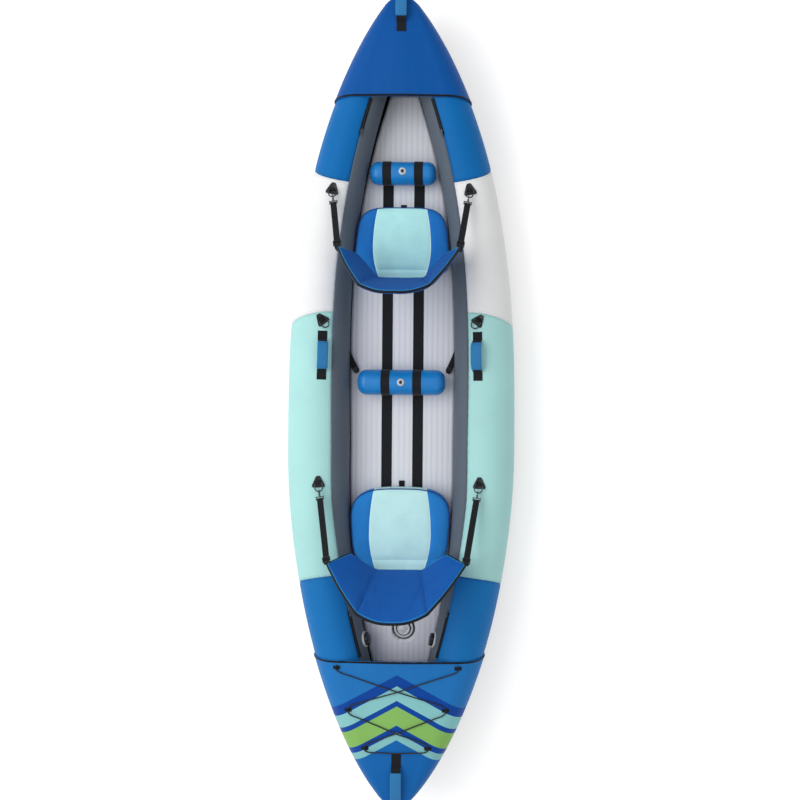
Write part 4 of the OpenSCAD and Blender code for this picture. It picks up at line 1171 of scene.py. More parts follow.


# Both seats are one cloth; their colours differ only as painted light, the front seat's set darker as painted
# shade.
PAD_BLUE_AS_LIT = {"front": "#2076c9", "rear": "#2883d1"}
MINT_AS_LIT = {"front": "#bef8f8", "rear": "#cbf8f8"}
BACK_BLUE_AS_LIT = {"front": "#0059ae", "rear": "#1060b8"}
cushion_cloth = {n: two_tone(padded_cloth(f"{n}_cushion_polyester", c), MINT_AS_LIT[n]) for n, c in PAD_BLUE_AS_LIT.items()}
hinge_finish = {n: two_tone(padded_cloth(f"{n}_hinge_polyester", c), MINT_AS_LIT[n]) for n, c in PAD_BLUE_AS_LIT.items()}
# each back's cloth gets painted shade along its two folds
back_cloth = {n: painted_fold_shade(padded_cloth(f"{n}_back_polyester", c)) for n, c in BACK_BLUE_AS_LIT.items()}
SLACK = 4 * MM
EDGE_AT = 0.86
NO_PANEL = -0.05
PRESSURE = 4.0


def points_of(mesh):
    """Vertex places of a mesh as an array."""
    flat = np.empty(len(mesh.vertices) * 3)
    mesh.vertices.foreach_get("co", flat)
    return flat.reshape(-1, 3)


def blown_up(part, held, marks_of, cap=6 * MM, voxel=5 * MM, frames=20):
    """Pad filled by Blender's cloth: the form is remeshed to even squares and put under pressure without
    gravity. Points where held is true stay, and no point goes further than the cap, approached as a
    hyperbolic tangent."""
    flat, groups, _ = part
    turn = -1 if signed_volume(flat, groups) < 0 else 1
    mesh = bpy.data.meshes.new("pad_form")
    mesh.from_pydata(flat.tolist(), [], [face for g in groups for face in g[:, ::turn].tolist()])
    pad = bpy.data.objects.new("pad_form", mesh)
    scene = bpy.context.scene
    scene.collection.objects.link(pad)
    even = pad.modifiers.new("even_squares", "REMESH")
    even.mode = "VOXEL"
    even.voxel_size = voxel
    pad.data = bpy.data.meshes.new_from_object(pad.evaluated_get(bpy.context.evaluated_depsgraph_get()))
    pad.modifiers.clear()
    start = points_of(pad.data)
    pad.vertex_groups.new(name="held").add(np.flatnonzero(held(start)).tolist(), 1.0, "REPLACE")
    cloth = pad.modifiers.new("filling", "CLOTH")
    cloth.settings.use_pressure = True
    cloth.settings.uniform_pressure_force = PRESSURE
    cloth.settings.vertex_group_mass = "held"
    cloth.settings.effector_weights.gravity = 0.0
    cloth.point_cache.frame_end = frames
    for number in range(1, frames + 1):
        scene.frame_set(number)
    way = points_of(pad.evaluated_get(bpy.context.evaluated_depsgraph_get()).data) - start
    scene.frame_set(1)
    far = np.maximum(np.linalg.norm(way, axis=1, keepdims=True), 1e-9)
    points = start + way / far * cap * np.tanh(far / cap)
    corners = np.empty(len(pad.data.loops), int)
    pad.data.loops.foreach_get("vertex_index", corners)
    print("filled", len(points), "points, furthest way", round(float(far.max()) * 1000, 1), "mm")
    bpy.data.objects.remove(pad)
    return points, [corners.reshape(-1, 4)], marks_of(points)


def softened(made):
    """One level of subdivision on a pad."""
    step = made.modifiers.new("soft", "SUBSURF")
    step.levels = step.render_levels = 1


def cushion_rows():
    """Rows of (share of the plan, height, crown) from the middle of the bottom to the middle of the top."""
    low = np.linspace(0.02, 0.6, 6)
    turn = np.linspace(-np.pi / 2, np.pi / 2, 26)
    side_k = 0.6 + 0.4 * np.cos(turn) ** 0.45
    side_h = 0.5 + 0.5 * soft_power(np.sin(turn), 0.62)
    top = np.linspace(0.6, 0.02, 22)[1:]
    k = np.concatenate([low[:-1], side_k, top])
    h = np.concatenate([0 * low[:-1], side_h, 0 * top + 1])
    crown = np.concatenate([0 * low[:-1], 0 * side_k, 7 * MM * (1 - (top / 0.6) ** 2)])
    return k[:, None], h[:, None], crown[:, None]


def plan(seat, t, k, z):
    """Points of a cushion at angle t, share k of its plan and height z: round front corners, squarer
    rear ones, and the slack and the chambers' room taken off."""
    power = np.where(np.sin(t) > 0, seat["corner"], 0.34)
    half = seat["depth"] / 2
    y = seat["y"] - half + (half - SLACK) * (k * soft_power(np.sin(t), power))
    x = (np.minimum(SEAT_W / 2, free_half(y, z) - 3 * MM) - SLACK) * (k * soft_power(np.cos(t), power))
    return np.stack([x, y, z], -1)


def cushion(seat, cols=200):
    """Closed cushion, four millimetres slack all round."""
    k, h, crown = cushion_rows()
    t = angles(cols)[None]
    points = plan(seat, t, k, SEAT_Z + CUSHION_T * h + crown + 0 * t)
    return body(points, cushion_marks(seat, points))


def cushion_marks(seat, points):
    """Cloth marks of a cushion: its place, and the distance into the centre panel above the bottom."""
    depth = mint_half(seat, points[..., 1]) - np.abs(points[..., 0])
    above = points[..., 2] > SEAT_Z + 0.1 * CUSHION_T
    return np.stack([points[..., 0], points[..., 1], np.where(above, depth, NO_PANEL)], -1)


def cushion_held(seat, points):
    """Where a cushion can't swell: its bottom, its cord edge and the two panel seams on top."""
    depth = cushion_marks(seat, points)[:, 2]
    high = (points[:, 2] - SEAT_Z) / CUSHION_T
    rim = np.abs(high - EDGE_AT) < 0.035
    return (high < 0.12) | rim | ((np.abs(depth) < 3 * MM) & (high > 0.9))


def stitch_down(part):
    """Presses the panel seams of a cushion into its top."""
    points, faces, marks = part
    high = np.clip((points[:, 2] - SEAT_Z) / CUSHION_T - 0.9, 0, 0.1) * 10
    points[:, 2] -= 3 * MM * np.exp(-(marks[:, 2] / (6 * MM)) ** 2) * high
    return points, faces, marks


def cushion_edge(seat):
    """Cord edge round the top of a cushion, just under its upper rim."""
    t = angles(160)
    path = plan(seat, t, 0.968, SEAT_Z + EDGE_AT * CUSHION_T + 0 * t)
    return sweep(path, UP, outline(5 * MM, 5 * MM, 1.0, 12), ring=True)


edge_cord = woven_tape("dark_blue_edge_cord", "#143f7c", 4 * MM, 1.6 * MM)
for name, seat in seats.items():
    soft = blown_up(cushion(seat), lambda p: cushion_held(seat, p), lambda p: cushion_marks(seat, p))
    pad = piece(f"{name}_cushion", [stitch_down(soft)], cushion_cloth[name], "hull", [f"{name}_seat_base"],
                "seat_cloth")
    softened(pad)
    piece(f"{name}_cushion_edge", [cushion_edge(seat)], edge_cord, "hull", slot="seat_cloth")
print("cushions", len(seats))

# %% [markdown]
# ## Seat backs
# A back has a centre panel and two wings, sewn along two fold lines and bound with black tape. It is a
# surface between a lower and an upper edge line; the two faces stand off it by the padding, which is
# thin at the edges and the fold lines. Everything here rides on the back's own body.

# %% Seat backs
FOLD_HALF = 3.5 * MM
FOOT_HALF = 95 * MM


def edge_line(low, high, u, bulge):
    """Line through two straight stretches, from the middle out to a corner and on to a tip, mirrored
    to port, with a bulge between the corners."""
    a, b = low
    m = np.abs(u)[..., None]
    inner = a + (b - a) * np.clip(2 * m, 0, 1)
    outer = (high - b) * np.clip(2 * m - 1, 0, 1)
    swell = np.where(m <= 0.5, bulge[0] * np.sin(np.pi * 2 * m), bulge[1] * np.sin(np.pi * (2 * m - 1)))
    return (inner + outer + swell) * np.stack([np.where(u < 0, -1, 1), 1 + 0 * u, 1 + 0 * u], -1)


def back_mid(form, u, v):
    """Middle surface of a back at u across, from -1 to 1, and v up, from 0 to 1."""
    tip, shoulder, top, wing = form
    foot = np.array([0.0, 0, 0])
    low = edge_line((foot, np.array([FOOT_HALF, 0, 0])), wing, u, (0 * foot, 0 * foot))
    bulge = (np.array([0, -10, 6]) * MM, np.array([4, -4, 5]) * MM)
    high = edge_line((top, shoulder), tip, u, bulge)
    return low + (high - low) * v[..., None]


def back_faces(seat, u, v):
    """Front and rear face of a back: the middle surface moved both ways along its normal by half of
    the padding, which fades at the edges and dips at the two fold lines."""
    form = seat["form"]
    e = 0.02
    du = back_mid(form, np.minimum(1, u + e), v) - back_mid(form, np.maximum(-1, u - e), v)
    dv = back_mid(form, u, np.minimum(1, v + e)) - back_mid(form, u, np.maximum(0, v - e))
    normal = unit(np.cross(dv, du))
    rim = np.minimum(1 - np.abs(2 * v - 1) ** 6, 1 - np.abs(u) ** 12)
    fold = 1 - 0.75 * np.exp(-((np.abs(u) - 0.5) / 0.025) ** 2)
    half = FOLD_HALF + 9 * MM * np.sqrt(np.maximum(0, rim)) * fold
    ripple = 0.8 * MM * np.sin(17 * u + 3) * np.sin(13 * v + 1) * rim
    mid = seat["base"] + back_mid(form, u, v)
    return mid + normal * (half + ripple)[..., None], mid - normal * (half - ripple)[..., None], normal


def seat_back(seat, rows=60, cols=120):
    """Back as a closed shell before it is filled."""
    u, v = np.meshgrid(np.linspace(-1, 1, cols), np.linspace(0, 1, rows))
    front, rear, _ = back_faces(seat, u, v)
    return shell(front, rear, np.stack([u, v, np.abs(np.abs(u) - 0.5)], -1))


def off_fold(seat, points):
    """Distance from the nearer of the two fold lines, measured to the straight line through it."""
    foot = seat["base"] + np.array([FOOT_HALF, 0, 0])
    line = unit(seat["base"] + seat["form"][1] - foot)
    way = points - foot
    way[:, 0] = np.abs(points[:, 0]) - foot[0]
    return np.linalg.norm(way - (way @ line)[:, None] * line, axis=1)


def back_held(seat, points):
    """Where a back can't swell: along its rim and its two folds."""
    rim = round_rim(seat)[0]
    near = np.sqrt(((points[:, None] - rim[None]) ** 2).sum(-1)).min(1)
    return (near < 14 * MM) | (off_fold(seat, points) < 16 * MM)


def back_marks(seat, points):
    """Cloth marks of a back: its place across and up, and twice its distance from a fold in metres."""
    return np.stack([points[:, 0], points[:, 2], 2 * np.maximum(0, off_fold(seat, points) - FOLD_HALF)], -1)


def round_rim(seat):
    """Closed line round a back: along the top, down one wing, along the foot and up the other wing."""
    t = np.linspace(0, 1, 60, endpoint=False)
    u = np.concatenate([-1 + 2 * t, 1 + 0 * t[:20], 1 - 2 * t, -1 + 0 * t[:20]])
    v = np.concatenate([1 + 0 * t, 1 - np.linspace(0, 1, 20), 0 * t, np.linspace(0, 1, 20)])
    mid = seat["base"] + back_mid(seat["form"], u, v)
    _, _, normal = back_faces(seat, np.clip(u, -0.99, 0.99), np.clip(v, 0.01, 0.99))
    inward = unit(seat["base"] + back_mid(seat["form"], 0.9 * u, 0.5 + 0.9 * (v - 0.5)) - mid)
    return mid, normal, inward


for name, seat in seats.items():
    back_body = f"{name}_seat_back"
    soft = blown_up(seat_back(seat), lambda p: back_held(seat, p), lambda p: back_marks(seat, p), cap=4 * MM)
    pad = piece(f"{name}_padded_back", [soft], back_cloth[name], back_body, [back_body], "seat_back_cloth")
    softened(pad)
    mid, normal, inward = round_rim(seat)
    tape = sweep(mid, normal, outline(6 * MM, 9 * MM, 0.5), ring=True)
    piece(f"{name}_back_tape", [tape], binding, back_body, slot="black_webbing")
    bead_line = mid + inward * 5 * MM + normal * 6.4 * MM
    bead = sweep(bead_line, normal, outline(2.2 * MM, 2.2 * MM, 1.0, 10), ring=True)
    piece(f"{name}_back_piping", [bead], sky_tape, back_body, slot="seat_back_cloth")
print("backs", len(seats))

# %% Hinge cloth between a cushion and its back
def hinge_cloth(seat, rows=24, cols=60):
    """Cloth hinge: from the cushion's top edge back to the hinge line and up to the foot of the back."""
    reach = BACK_GAP + seat["depth"] / 10
    spine = np.array([(0, reach, -8 * MM), (0, reach * 0.6, -2.6 * MM), (0, 7 * MM, -1.6 * MM),
                      (0, 0, 1.5 * MM), (0, -1.0 * MM, 7 * MM), (0, -3 * MM, 14 * MM)])
    path = smooth_path(spine, rows)
    x = np.linspace(-1, 1, cols)[None] * (112 * MM + 1.4 * np.clip(path[:, 1:2], 0, 35 * MM))
    grid = seat["hinge"] + path[:, None] + np.stack([x, 0 * x, 0 * x], -1)
    out = unit(np.cross(np.array([1.0, 0, 0]), unit(np.gradient(path, axis=0))))[:, None]
    panel = np.where(path[:, 1:2] > 2 * MM, mint_half(seat, grid[..., 1]) - np.abs(x), NO_PANEL)
    marks = np.stack([grid[..., 0], grid[..., 1] + grid[..., 2], panel], -1)
    return shell(grid + 0.7 * MM * out, grid - 0.7 * MM * out, marks)


def hinge_cord(seat):
    """Rolled seam along the hinge line."""
    x = np.linspace(-88, 88, 40) * MM
    path = seat["hinge"] + np.stack([x, 0 * x - 3 * MM, 0 * x], -1)
    return sweep(path, UP, outline(5 * MM, 5 * MM, 1.0, 14))


rolled = []
for name, seat in seats.items():
    made = piece(f"{name}_hinge_cloth", [hinge_cloth(seat)], hinge_finish[name], None, (), "seat_back_cloth")
    y, z = seat["hinge"][1:]
    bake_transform(made)
    rolled.append(hinge_cord(seat))
piece("hinge_rolled_seams", rolled, binding, "hull", ["seat_hinge_seams"], "black_webbing")

# %% [markdown]
# ## Seat tabs, floor webbing and footrests
# Two long webbings are welded to the floor, and each footrest, a small inflated bolster, is held on
# them by two loops and slides to suit the paddler. A bolster is a profile turned about its axis, with
# puckers where the end discs are welded in.

# %% Floor webbing and seat tabs
WEB_X = 65 * MM
WEB_W = 44 * MM
WEB_Z = FLOOR_TOP + 0.4 * MM + WEB_T / 2
y = np.linspace(-520, 1005, 120) * MM
runs = []
for x in (-WEB_X, WEB_X):
    path = np.stack([0 * y + x, y, WEB_Z + 0.12 * MM * np.sin(40 * y)], -1)
    runs.append(sweep(path, UP, outline(WEB_W, WEB_T, 0.3, 20)))
piece("floor_runs", runs, webbing, "hull", ["floor_webbing"], "black_webbing")


def seat_tab(seat):
    """Pull tab under a cushion's front edge: a short folded webbing with a thicker sewn end."""
    spine = np.array([(0, -26, 0.4), (0, -8, 0.4), (0, 4, 0.6), (0, 12, 1.4), (0, 18, 1.6)]) * MM
    spine = spine + np.array([0, seat["y"], FLOOR_TOP + WEB_T / 2])
    low = sweep(smooth_path(spine, 30), UP, outline(24 * MM, WEB_T, 0.3, 18))
    upper = smooth_path(spine[1:] + WEB_T * UP, 30)
    fold = sweep(upper, UP, outline(22 * MM, WEB_T, 0.3, 18))
    return [low, fold]


piece("seat_pull_tabs", [p for s in seats.values() for p in seat_tab(s)], webbing, "hull", ["seat_tabs"],
      "black_webbing")

# %% Footrests
footrest_vinyl, tree, shader = finish("welded_footrest_vinyl", Roughness=0.38, IOR=1.53)
place = object_place(tree)
split = xyz(tree, place)
emboss = threads(tree, 3 * MM, split[0], math(tree, "ADD", split[1], split[2]))
tone = scaled(tree, noise(tree, place, 20.0, 4.0), 0.3, 0.85)
tree.links.new(dyed(tree, "#0880cd", tone), shader.inputs["Base Color"])
bumped(tree, shader, emboss, 0.2, 0.25 * MM)
WEB_TOP = FLOOR_TOP + 2 * MM
LOOP_W = WEB_W - 8 * MM
SHOULDER = 0.72
rests = {"front": dict(y=947 * MM, width=270 * MM, d=95 * MM, tail=30 * MM),
         "mid": dict(y=84 * MM, width=361 * MM, d=104 * MM, tail=60 * MM)}


def rest_middle(rest):
    """Middle of a footrest, which stands on its webbing loops."""
    return np.array([0, rest["y"], WEB_TOP + 2.4 * MM + rest["d"] / 2])


def rest_top(rest):
    """Top of a footrest, where its valve sits."""
    return rest_middle(rest) + rest["d"] / 2 * UP


def bolster(rest, cols=96):
    """Inflated bolster: a tube with round shoulders and slightly domed ends, puckered at the weld, and
    drawn in a little under the two loops."""
    r = rest["d"] / 2
    e = SHOULDER * r
    turn = np.linspace(0, np.pi / 2, 22)
    end_x = rest["width"] / 2 - e * (1 - np.sin(turn))
    end_r = r - e * (1 - np.cos(turn))
    dome = np.linspace(1, 0.05, 8)[1:]
    mid_x = np.linspace(-1, 1, 70)[1:-1] * (rest["width"] / 2 - e)
    x = np.concatenate([-end_x[::-1], mid_x, end_x])
    radius = np.concatenate([end_r[::-1], 0 * mid_x + r, end_r])
    caps = end_r[-1] * dome
    x = np.concatenate([0 * dome[::-1] - rest["width"] / 2, x, 0 * dome + rest["width"] / 2])
    radius = np.concatenate([caps[::-1], radius, caps])
    t = angles(cols)
    weld = np.exp(-((np.abs(x) - (rest["width"] / 2 - 0.5 * e)) / (9 * MM)) ** 2)
    pinch = np.exp(-((np.abs(x) - WEB_X) / (LOOP_W / 2)) ** 8)
    r_all = radius[:, None] - 1.2 * MM * weld[:, None] * (1 + np.cos(14 * t)) / 2 - 0.4 * MM * pinch[:, None]
    x_all = np.broadcast_to(x[:, None], r_all.shape)
    local = np.stack([x_all, r_all * np.cos(t), r_all * np.sin(t)], -1)
    return body(local + rest_middle(rest))


def end_weld(rest, side):
    """Raised weld where an end disc joins the bolster."""
    r = rest["d"] / 2
    e = SHOULDER * r
    t = angles(80)
    turn = np.pi / 6
    radius = r - e * (1 - np.cos(turn)) + 0.2 * MM
    x = side * (rest["width"] / 2 - e * (1 - np.sin(turn)))
    path = np.stack([0 * t + x, radius * np.cos(t), radius * np.sin(t)], -1) + rest_middle(rest)
    return sweep(path, (side, 0, 0), outline(2.4 * MM, 2.4 * MM, 1.0, 10), ring=True)


def valve_boss(rest):
    """Round boss under the plug, welded to the bolster's top."""
    rows = [(5.3, -8), (15, -8), (15, 1.2), (14.4, 2), (6.4, 2), (5.3, 1.2)]
    return body(turned(rows, 48) + rest_top(rest), ring=True)


def rest_loop(rest, x):
    """Loop of webbing once round a bolster, with a tail that lies along the floor webbing."""
    middle = rest_middle(rest) + np.array([x, 0, 0])
    r = rest["d"] / 2 + 0.4 * MM + WEB_T / 2
    t = angles(90)
    path = middle + np.stack([0 * t, r * np.cos(t), r * np.sin(t)], -1)
    band = sweep(path, path - middle, outline(LOOP_W, WEB_T, 0.3, 18), ring=True)
    y = np.linspace(-rest["d"] / 2 - rest["tail"], -12 * MM, 24)
    line = np.stack([0 * y, y, 0 * y - rest["d"] / 2 - 1.4 * MM], -1) + middle
    return [band, sweep(line, UP, outline(LOOP_W, WEB_T, 0.3, 18))]


def plug_flange(rest):
    """Plug: a stem in the boss and a round flange with a rolled rim round a dished middle."""
    rows = [(0.5, -7), (4.6, -7), (5.0, -6.4), (5.0, 2.4), (11, 2.4), (12, 3.2), (12, 4.6), (11.2, 5.4),
            (7.4, 5.4), (7, 4.4), (0.5, 4.4)]
    return body(turned(rows, 48) + rest_top(rest))


def plug_grip(rest):
    """Dark core of a plug with the short grip that stands across it."""
    core = turned([(0.5, 4.5), (6.2, 4.5), (6.4, 5), (6, 5.6), (0.5, 5.6)], 32)
    grip = block((4 * MM, 15 * MM, 3.4 * MM), 0.45, 20) + 6.2 * MM * UP
    return [body(shape + rest_top(rest)) for shape in (core, grip)]


for name, rest in rests.items():
    rides = f"{name}_footrest"
    made = piece(f"{name}_bolster", [bolster(rest)], footrest_vinyl, rides, [rides], "footrest_vinyl")
    trims = [end_weld(rest, -1), end_weld(rest, 1)]
    piece(f"{name}_bolster_welds", trims, footrest_vinyl, rides, slot="footrest_vinyl")
    loops = [p for x in (-WEB_X, WEB_X) for p in rest_loop(rest, x)]
    piece(f"{name}_rest_webbing", loops, webbing, rides, [f"{name}_footrest_loops"], "black_webbing")
    piece(f"{name}_valve_boss", [valve_boss(rest)], pale_plastic, rides, slot="footrest_vinyl")
    plug = f"{name}_footrest_plug"
    piece(f"{name}_rest_stopper", [plug_flange(rest)], pale_plastic, plug, [plug], "clear_plastic")
    piece(f"{name}_stopper_core", plug_grip(rest), black_plastic, plug, slot="clear_plastic")
print("footrests", len(rests))

# %% [markdown]
# ## Carry handles
# A handle is one webbing that rises in an arch between its sewn ends, with a soft sleeve round the
# arch. The two side handles stand on the chambers; bow and stern handles run from the deck to the nose.
# The sleeve is foam in stretch cloth, so its section is a fat oval that closes at the ends.

# %% Handles
HANDLE_W = 38 * MM
HANDLE_LEN = 197 * MM
HANDLE_H = 34 * MM
ARCH = 66 * MM
SIDE_HANDLE = (191 * MM, 103)
foam = padded_cloth("foam_backed_stretch_cloth", "#347fb8", weave=1.6 * MM, rough=0.65)


def arch_height(s):
    """Height of a side handle's arch at place s: one less a fourth power."""
    return np.where(np.abs(s) < ARCH, HANDLE_H * (1 - (s / ARCH) ** 4), 0) - 0.3 * MM


def side_handle():
    """Webbing and sleeve of a side handle."""
    frame4 = tube_frame(*SIDE_HANDLE)
    s = np.concatenate([np.linspace(-HANDLE_LEN / 2, -ARCH, 10)[:-1], np.linspace(-ARCH, ARCH, 80),
                        np.linspace(ARCH, HANDLE_LEN / 2, 10)[1:]])
    inner = np.linspace(-54 * MM, 54 * MM, 70)
    path, core = (set_on(np.stack([0 * v, v, arch_height(v) + WEB_T / 2], -1), frame4) for v in (s, inner))
    band = sweep(path, frame4[3], outline(HANDLE_W, WEB_T, 0.3, 20))
    return band, sleeve(core, frame4[3], HANDLE_W + 5 * MM)


def sleeve(path, up, width):
    """Soft sleeve: an oval that closes down on the webbing at both ends."""
    s = arc_length(path)
    near = np.minimum(s, s[-1] - s)
    close = np.sqrt(1 - (1 - np.clip(near / (7 * MM), 0, 1)) ** 2)
    oval = outline(width, 10 * MM, 0.62, 36)
    grow = np.stack([0.9 + 0.1 * close, 0.42 + 0.58 * close], -1)[:, None]
    return sweep(path, up, oval * grow)


def ridge(way, y):
    """Height of the top line of a deck, with the handle's small clearance."""
    return deck_z(0 * y, way * y, DECK_T) + 0.6 * MM


def end_arch(way, start, t):
    """Line of an end handle: from the deck to the nose with a flat arch between."""
    e = np.array([way * END])
    top = float(deck_z(0 * e, e, DECK_T)[0])
    low = float(keel_z(e)[0])
    mid = low + NOSE_MID * (top - low)
    nose = mid + nose_tall(0.72) * (top - mid) + 0.6 * MM
    y = start + (HALF - 15 * MM - start) * t
    first = float(ridge(way, np.array([start]))[0])
    z = first + (nose - first) * t + 36 * MM * (1 - np.abs(2 * t - 1) ** 3)
    return np.stack([0 * y, way * y, z], -1)


def end_handle(way, tail, start):
    """Webbing and sleeve of the bow or stern handle, with a sewn tail on the deck."""
    y = np.linspace(tail, start, 16)[:-1]
    lie = np.stack([0 * y, way * y, ridge(way, y)], -1)
    t = np.linspace(0, 1, 70)
    path = np.concatenate([lie, end_arch(way, start, t)]) + WEB_T / 2 * UP
    band = sweep(path, UP, outline(HANDLE_W, WEB_T, 0.3, 20))
    t = np.linspace(0.15, 0.85, 60)
    path = end_arch(way, start, t) + WEB_T / 2 * UP
    return band, sleeve(path, UP, HANDLE_W + 6 * MM)


side_band, side_sleeve = side_handle()
bow_band, bow_sleeve = end_handle(1, 1475 * MM, 1510 * MM)
stern_band, stern_sleeve = end_handle(-1, 1409.8 * MM, 1449.8 * MM)
piece("carry_webbing", both([side_band]) + [bow_band, stern_band], webbing, "hull", ["handle_webbing"],
      "black_webbing")
sleeves = both([side_sleeve]) + [bow_sleeve, stern_sleeve]
made = piece("carry_sleeves", sleeves, foam, "hull", ["handle_sleeves"], "sleeve_foam")
print("handles", 4)

# %% [markdown]
# ## Valves
# Each chamber has a valve low on the inner wall: a pale welded collar and a black ribbed cap on a post.
# The floor has a flush one with pale rings. Caps are turned profiles whose radius waves for the grip.

# %% Valves
VALVE = (-983 * MM, 172)
cap_rows = [(9.3, 6.4), (20, 6.4), (24, 6.8, 1), (24.4, 8, 1), (24.4, 17, 1), (23.6, 19, 1), (22, 20.2, 0.6),
            (19, 20.4), (17.6, 19.2), (12, 19.2), (11, 20), (0.5, 20.2)]
collar_rows = [(0.5, -3), (30, -3), (33, 0.5), (33.6, 3.6), (32.6, 5.4), (30, 6), (10, 6), (9, 6.4),
               (9, 15.4), (8, 16), (0.5, 16)]
seat_rows = [(0.5, -5), (43, -5), (44.8, -4), (44.8, 11), (44, 12), (42, 12), (41, 11), (41, 5), (10, 5),
             (9, 6), (9, 16), (0.5, 16)]
ring_rows = [(31.6, 5.2), (40.4, 5.2), (40.4, 10), (39.4, 11), (32.6, 11), (31.6, 10)]
lid_rows = [(9.3, 6.4), (25.4, 6.4), (26.6, 7.4), (26.6, 17.6), (25.6, 19), (22.6, 19.6), (21.6, 18.2),
            (15, 18.2), (14, 19.4), (0.5, 19.4)]
chamber_frame = tube_frame(*VALVE)
collar = body(set_on(turned(collar_rows), chamber_frame))
piece("valve_collars", both([collar]), pale_plastic, "hull", ["valve_bodies"], "black_plastic")
cap = body(set_on(turned(cap_rows, 144, 12, 2.2 * MM), chamber_frame))
for hand, side in HANDS:
    name = f"{hand}_valve_cap"
    piece(f"{hand}_ribbed_cap", [mirrored(cap, side)], black_plastic, name, [name], "black_plastic")
floor_seat = body(turned(seat_rows) + FLOOR_VALVE)
floor_ring = body(turned(ring_rows) + FLOOR_VALVE, ring=True)
floor_lid = body(turned(lid_rows) + FLOOR_VALVE)
piece("floor_valve_seat", [floor_seat], black_plastic, "hull", slot="black_plastic")
piece("floor_valve_ring", [floor_ring], pale_plastic, "hull", slot="clear_plastic")
piece("floor_valve_lid", [floor_lid], pale_plastic, "floor_valve_cap", ["floor_valve_cap"], "clear_plastic")
print("valves", 3)

# %% [markdown]
# ## Zip sliders and wall buckles
# Sliders are small castings with a pull tab; the buckles on the inner walls are two-part side releases
# on short webbing. Both are built from rounded boxes, placed in the frame of the seam or the wall.

# %% Sliders and wall buckles
def zip_frame(ends):
    """Frame of a zip: Y from its first to its last point and Z off the cover."""
    first, last = (tube_pt(y, seam_at(y), 1.4 * MM) for y in ends)
    along = unit(last - first)
    middle = sum(ends) / 2
    tilt = tube_frame(middle, seam_at(middle))[3]
    out = unit(tilt - along * (tilt @ along))
    return first, np.cross(along, out), along, out


def slider(ends):
    """Slider body with a bridge and a pull tab that lies back along the tape."""
    shapes = [((11, 15, 3.6), (0, 12, 4.4), 0.4, 18), ((4, 10, 3), (0, 12, 6.4), 0.5, 14),
              ((6, 22, 1.6), (0, 0, 7.0), 0.35, 18)]
    return blocks(shapes, zip_frame(ends))


for place, ends in (("bow", BOW_ZIP), ("stern", STERN_ZIP)):
    for hand, side in HANDS:
        name = f"{hand}_{place}_slider"
        castings = [mirrored(p, side) for p in slider(ends)]
        piece(f"{name}_casting", castings, grey_plastic, name, [name], "black_plastic")

WALL = (189 * MM, 184)
wall_from = tube_pt(*WALL, 0.6 * MM)
wall_reach = np.array([-24, -54, -22]) * MM
wall_frame = line_frame(wall_from, wall_from + wall_reach)
tab_end = float(np.linalg.norm(wall_reach))
TAB_W = 24 * MM


def wall_tab(rows=24, cols=14):
    """Webbing tab from the wall's slanted line to the buckle's middle, with a slight sag."""
    across = np.linspace(-TAB_W / 2, TAB_W / 2, cols)[None]
    root = -across * wall_reach[1] / wall_reach[0]
    y = root + (tab_end - root) * np.linspace(0, 1, rows)[:, None]
    sag = -1.5 * MM * np.sin(np.pi * np.clip(y / tab_end, 0, 1))
    low = np.stack([across + 0 * y, y, sag], -1)
    marks = np.stack([across + 0 * y, y, TAB_W / 2 - np.abs(across) + 0 * y], -1)
    return shell(set_on(low + WEB_T * UP, wall_frame), set_on(low, wall_frame), marks)


base = wall_tab()
buckle_shapes = [((26, 16, 7), (0, -6, 0.8), 0.35, 20), ((20, 14, 6), (0, 6.5, 0.8), 0.35, 20),
                 ((27, 7, 4.6), (0, 2, 0.8), 0.4, 16)]
buckle_parts = blocks(buckle_shapes, moved(wall_frame, 2, tab_end))
tail_y = np.linspace(-65, 65, 30) * MM
tail_frame = tube_frame(WALL[0] - 65 * MM, WALL[1] + 6)
tail_path = np.stack([1.5 * MM * np.sin(40 * tail_y), tail_y, 2.4 * MM + 1.0 * MM * np.sin(60 * tail_y)], -1)
tail = sweep(set_on(tail_path, tail_frame), tail_frame[3], outline(18 * MM, WEB_T, 0.3, 18))
piece("wall_webbing", both([base]) + [mirrored(tail, -1)], webbing, "hull", ["wall_buckles"], "black_webbing")
piece("wall_side_releases", both(buckle_parts), black_plastic, "hull", slot="black_plastic")
print("sliders", 4, "wall buckles", 2)

# %% [markdown]
# ## Deck cord
# An elastic cord is laced through six webbing loops on the stern deck. Its route repeats the points of
# the construction; corners are cut once so that the cord turns in a curve, and it rides over itself at
# the two crossings. The braid is a pair of crossing bands read from the sweep's marks.

# %% Deck cord and its loops
CORD_D = 5 * MM
CORD_UP = CORD_D / 2 + 2.4 * MM
LOOP_Y = np.array([-1070, -1238.2, -1387.8]) * MM
LOOPS = np.stack([np.array([0.72, 0.7, 0.595]) * half_beam(LOOP_Y), LOOP_Y], -1)
LOOP_RUN = 15 * MM
BEND_RUN = 18 * MM
CROSS_HALF = 70 * MM


def near_loop(k, side, shift):
    """Point of the cord beside loop k on one side, shifted along the boat."""
    return LOOPS[k] * np.array([side, 1]) + np.array([0, shift])


def leg(k, k_side, m, m_side):
    """Seven points on the straight stretch between two loops, from the nearer end of each."""
    way = np.sign(LOOP_Y[m] - LOOP_Y[k]) * LOOP_RUN
    return np.linspace(near_loop(k, k_side, way), near_loop(m, m_side, -way), 7)


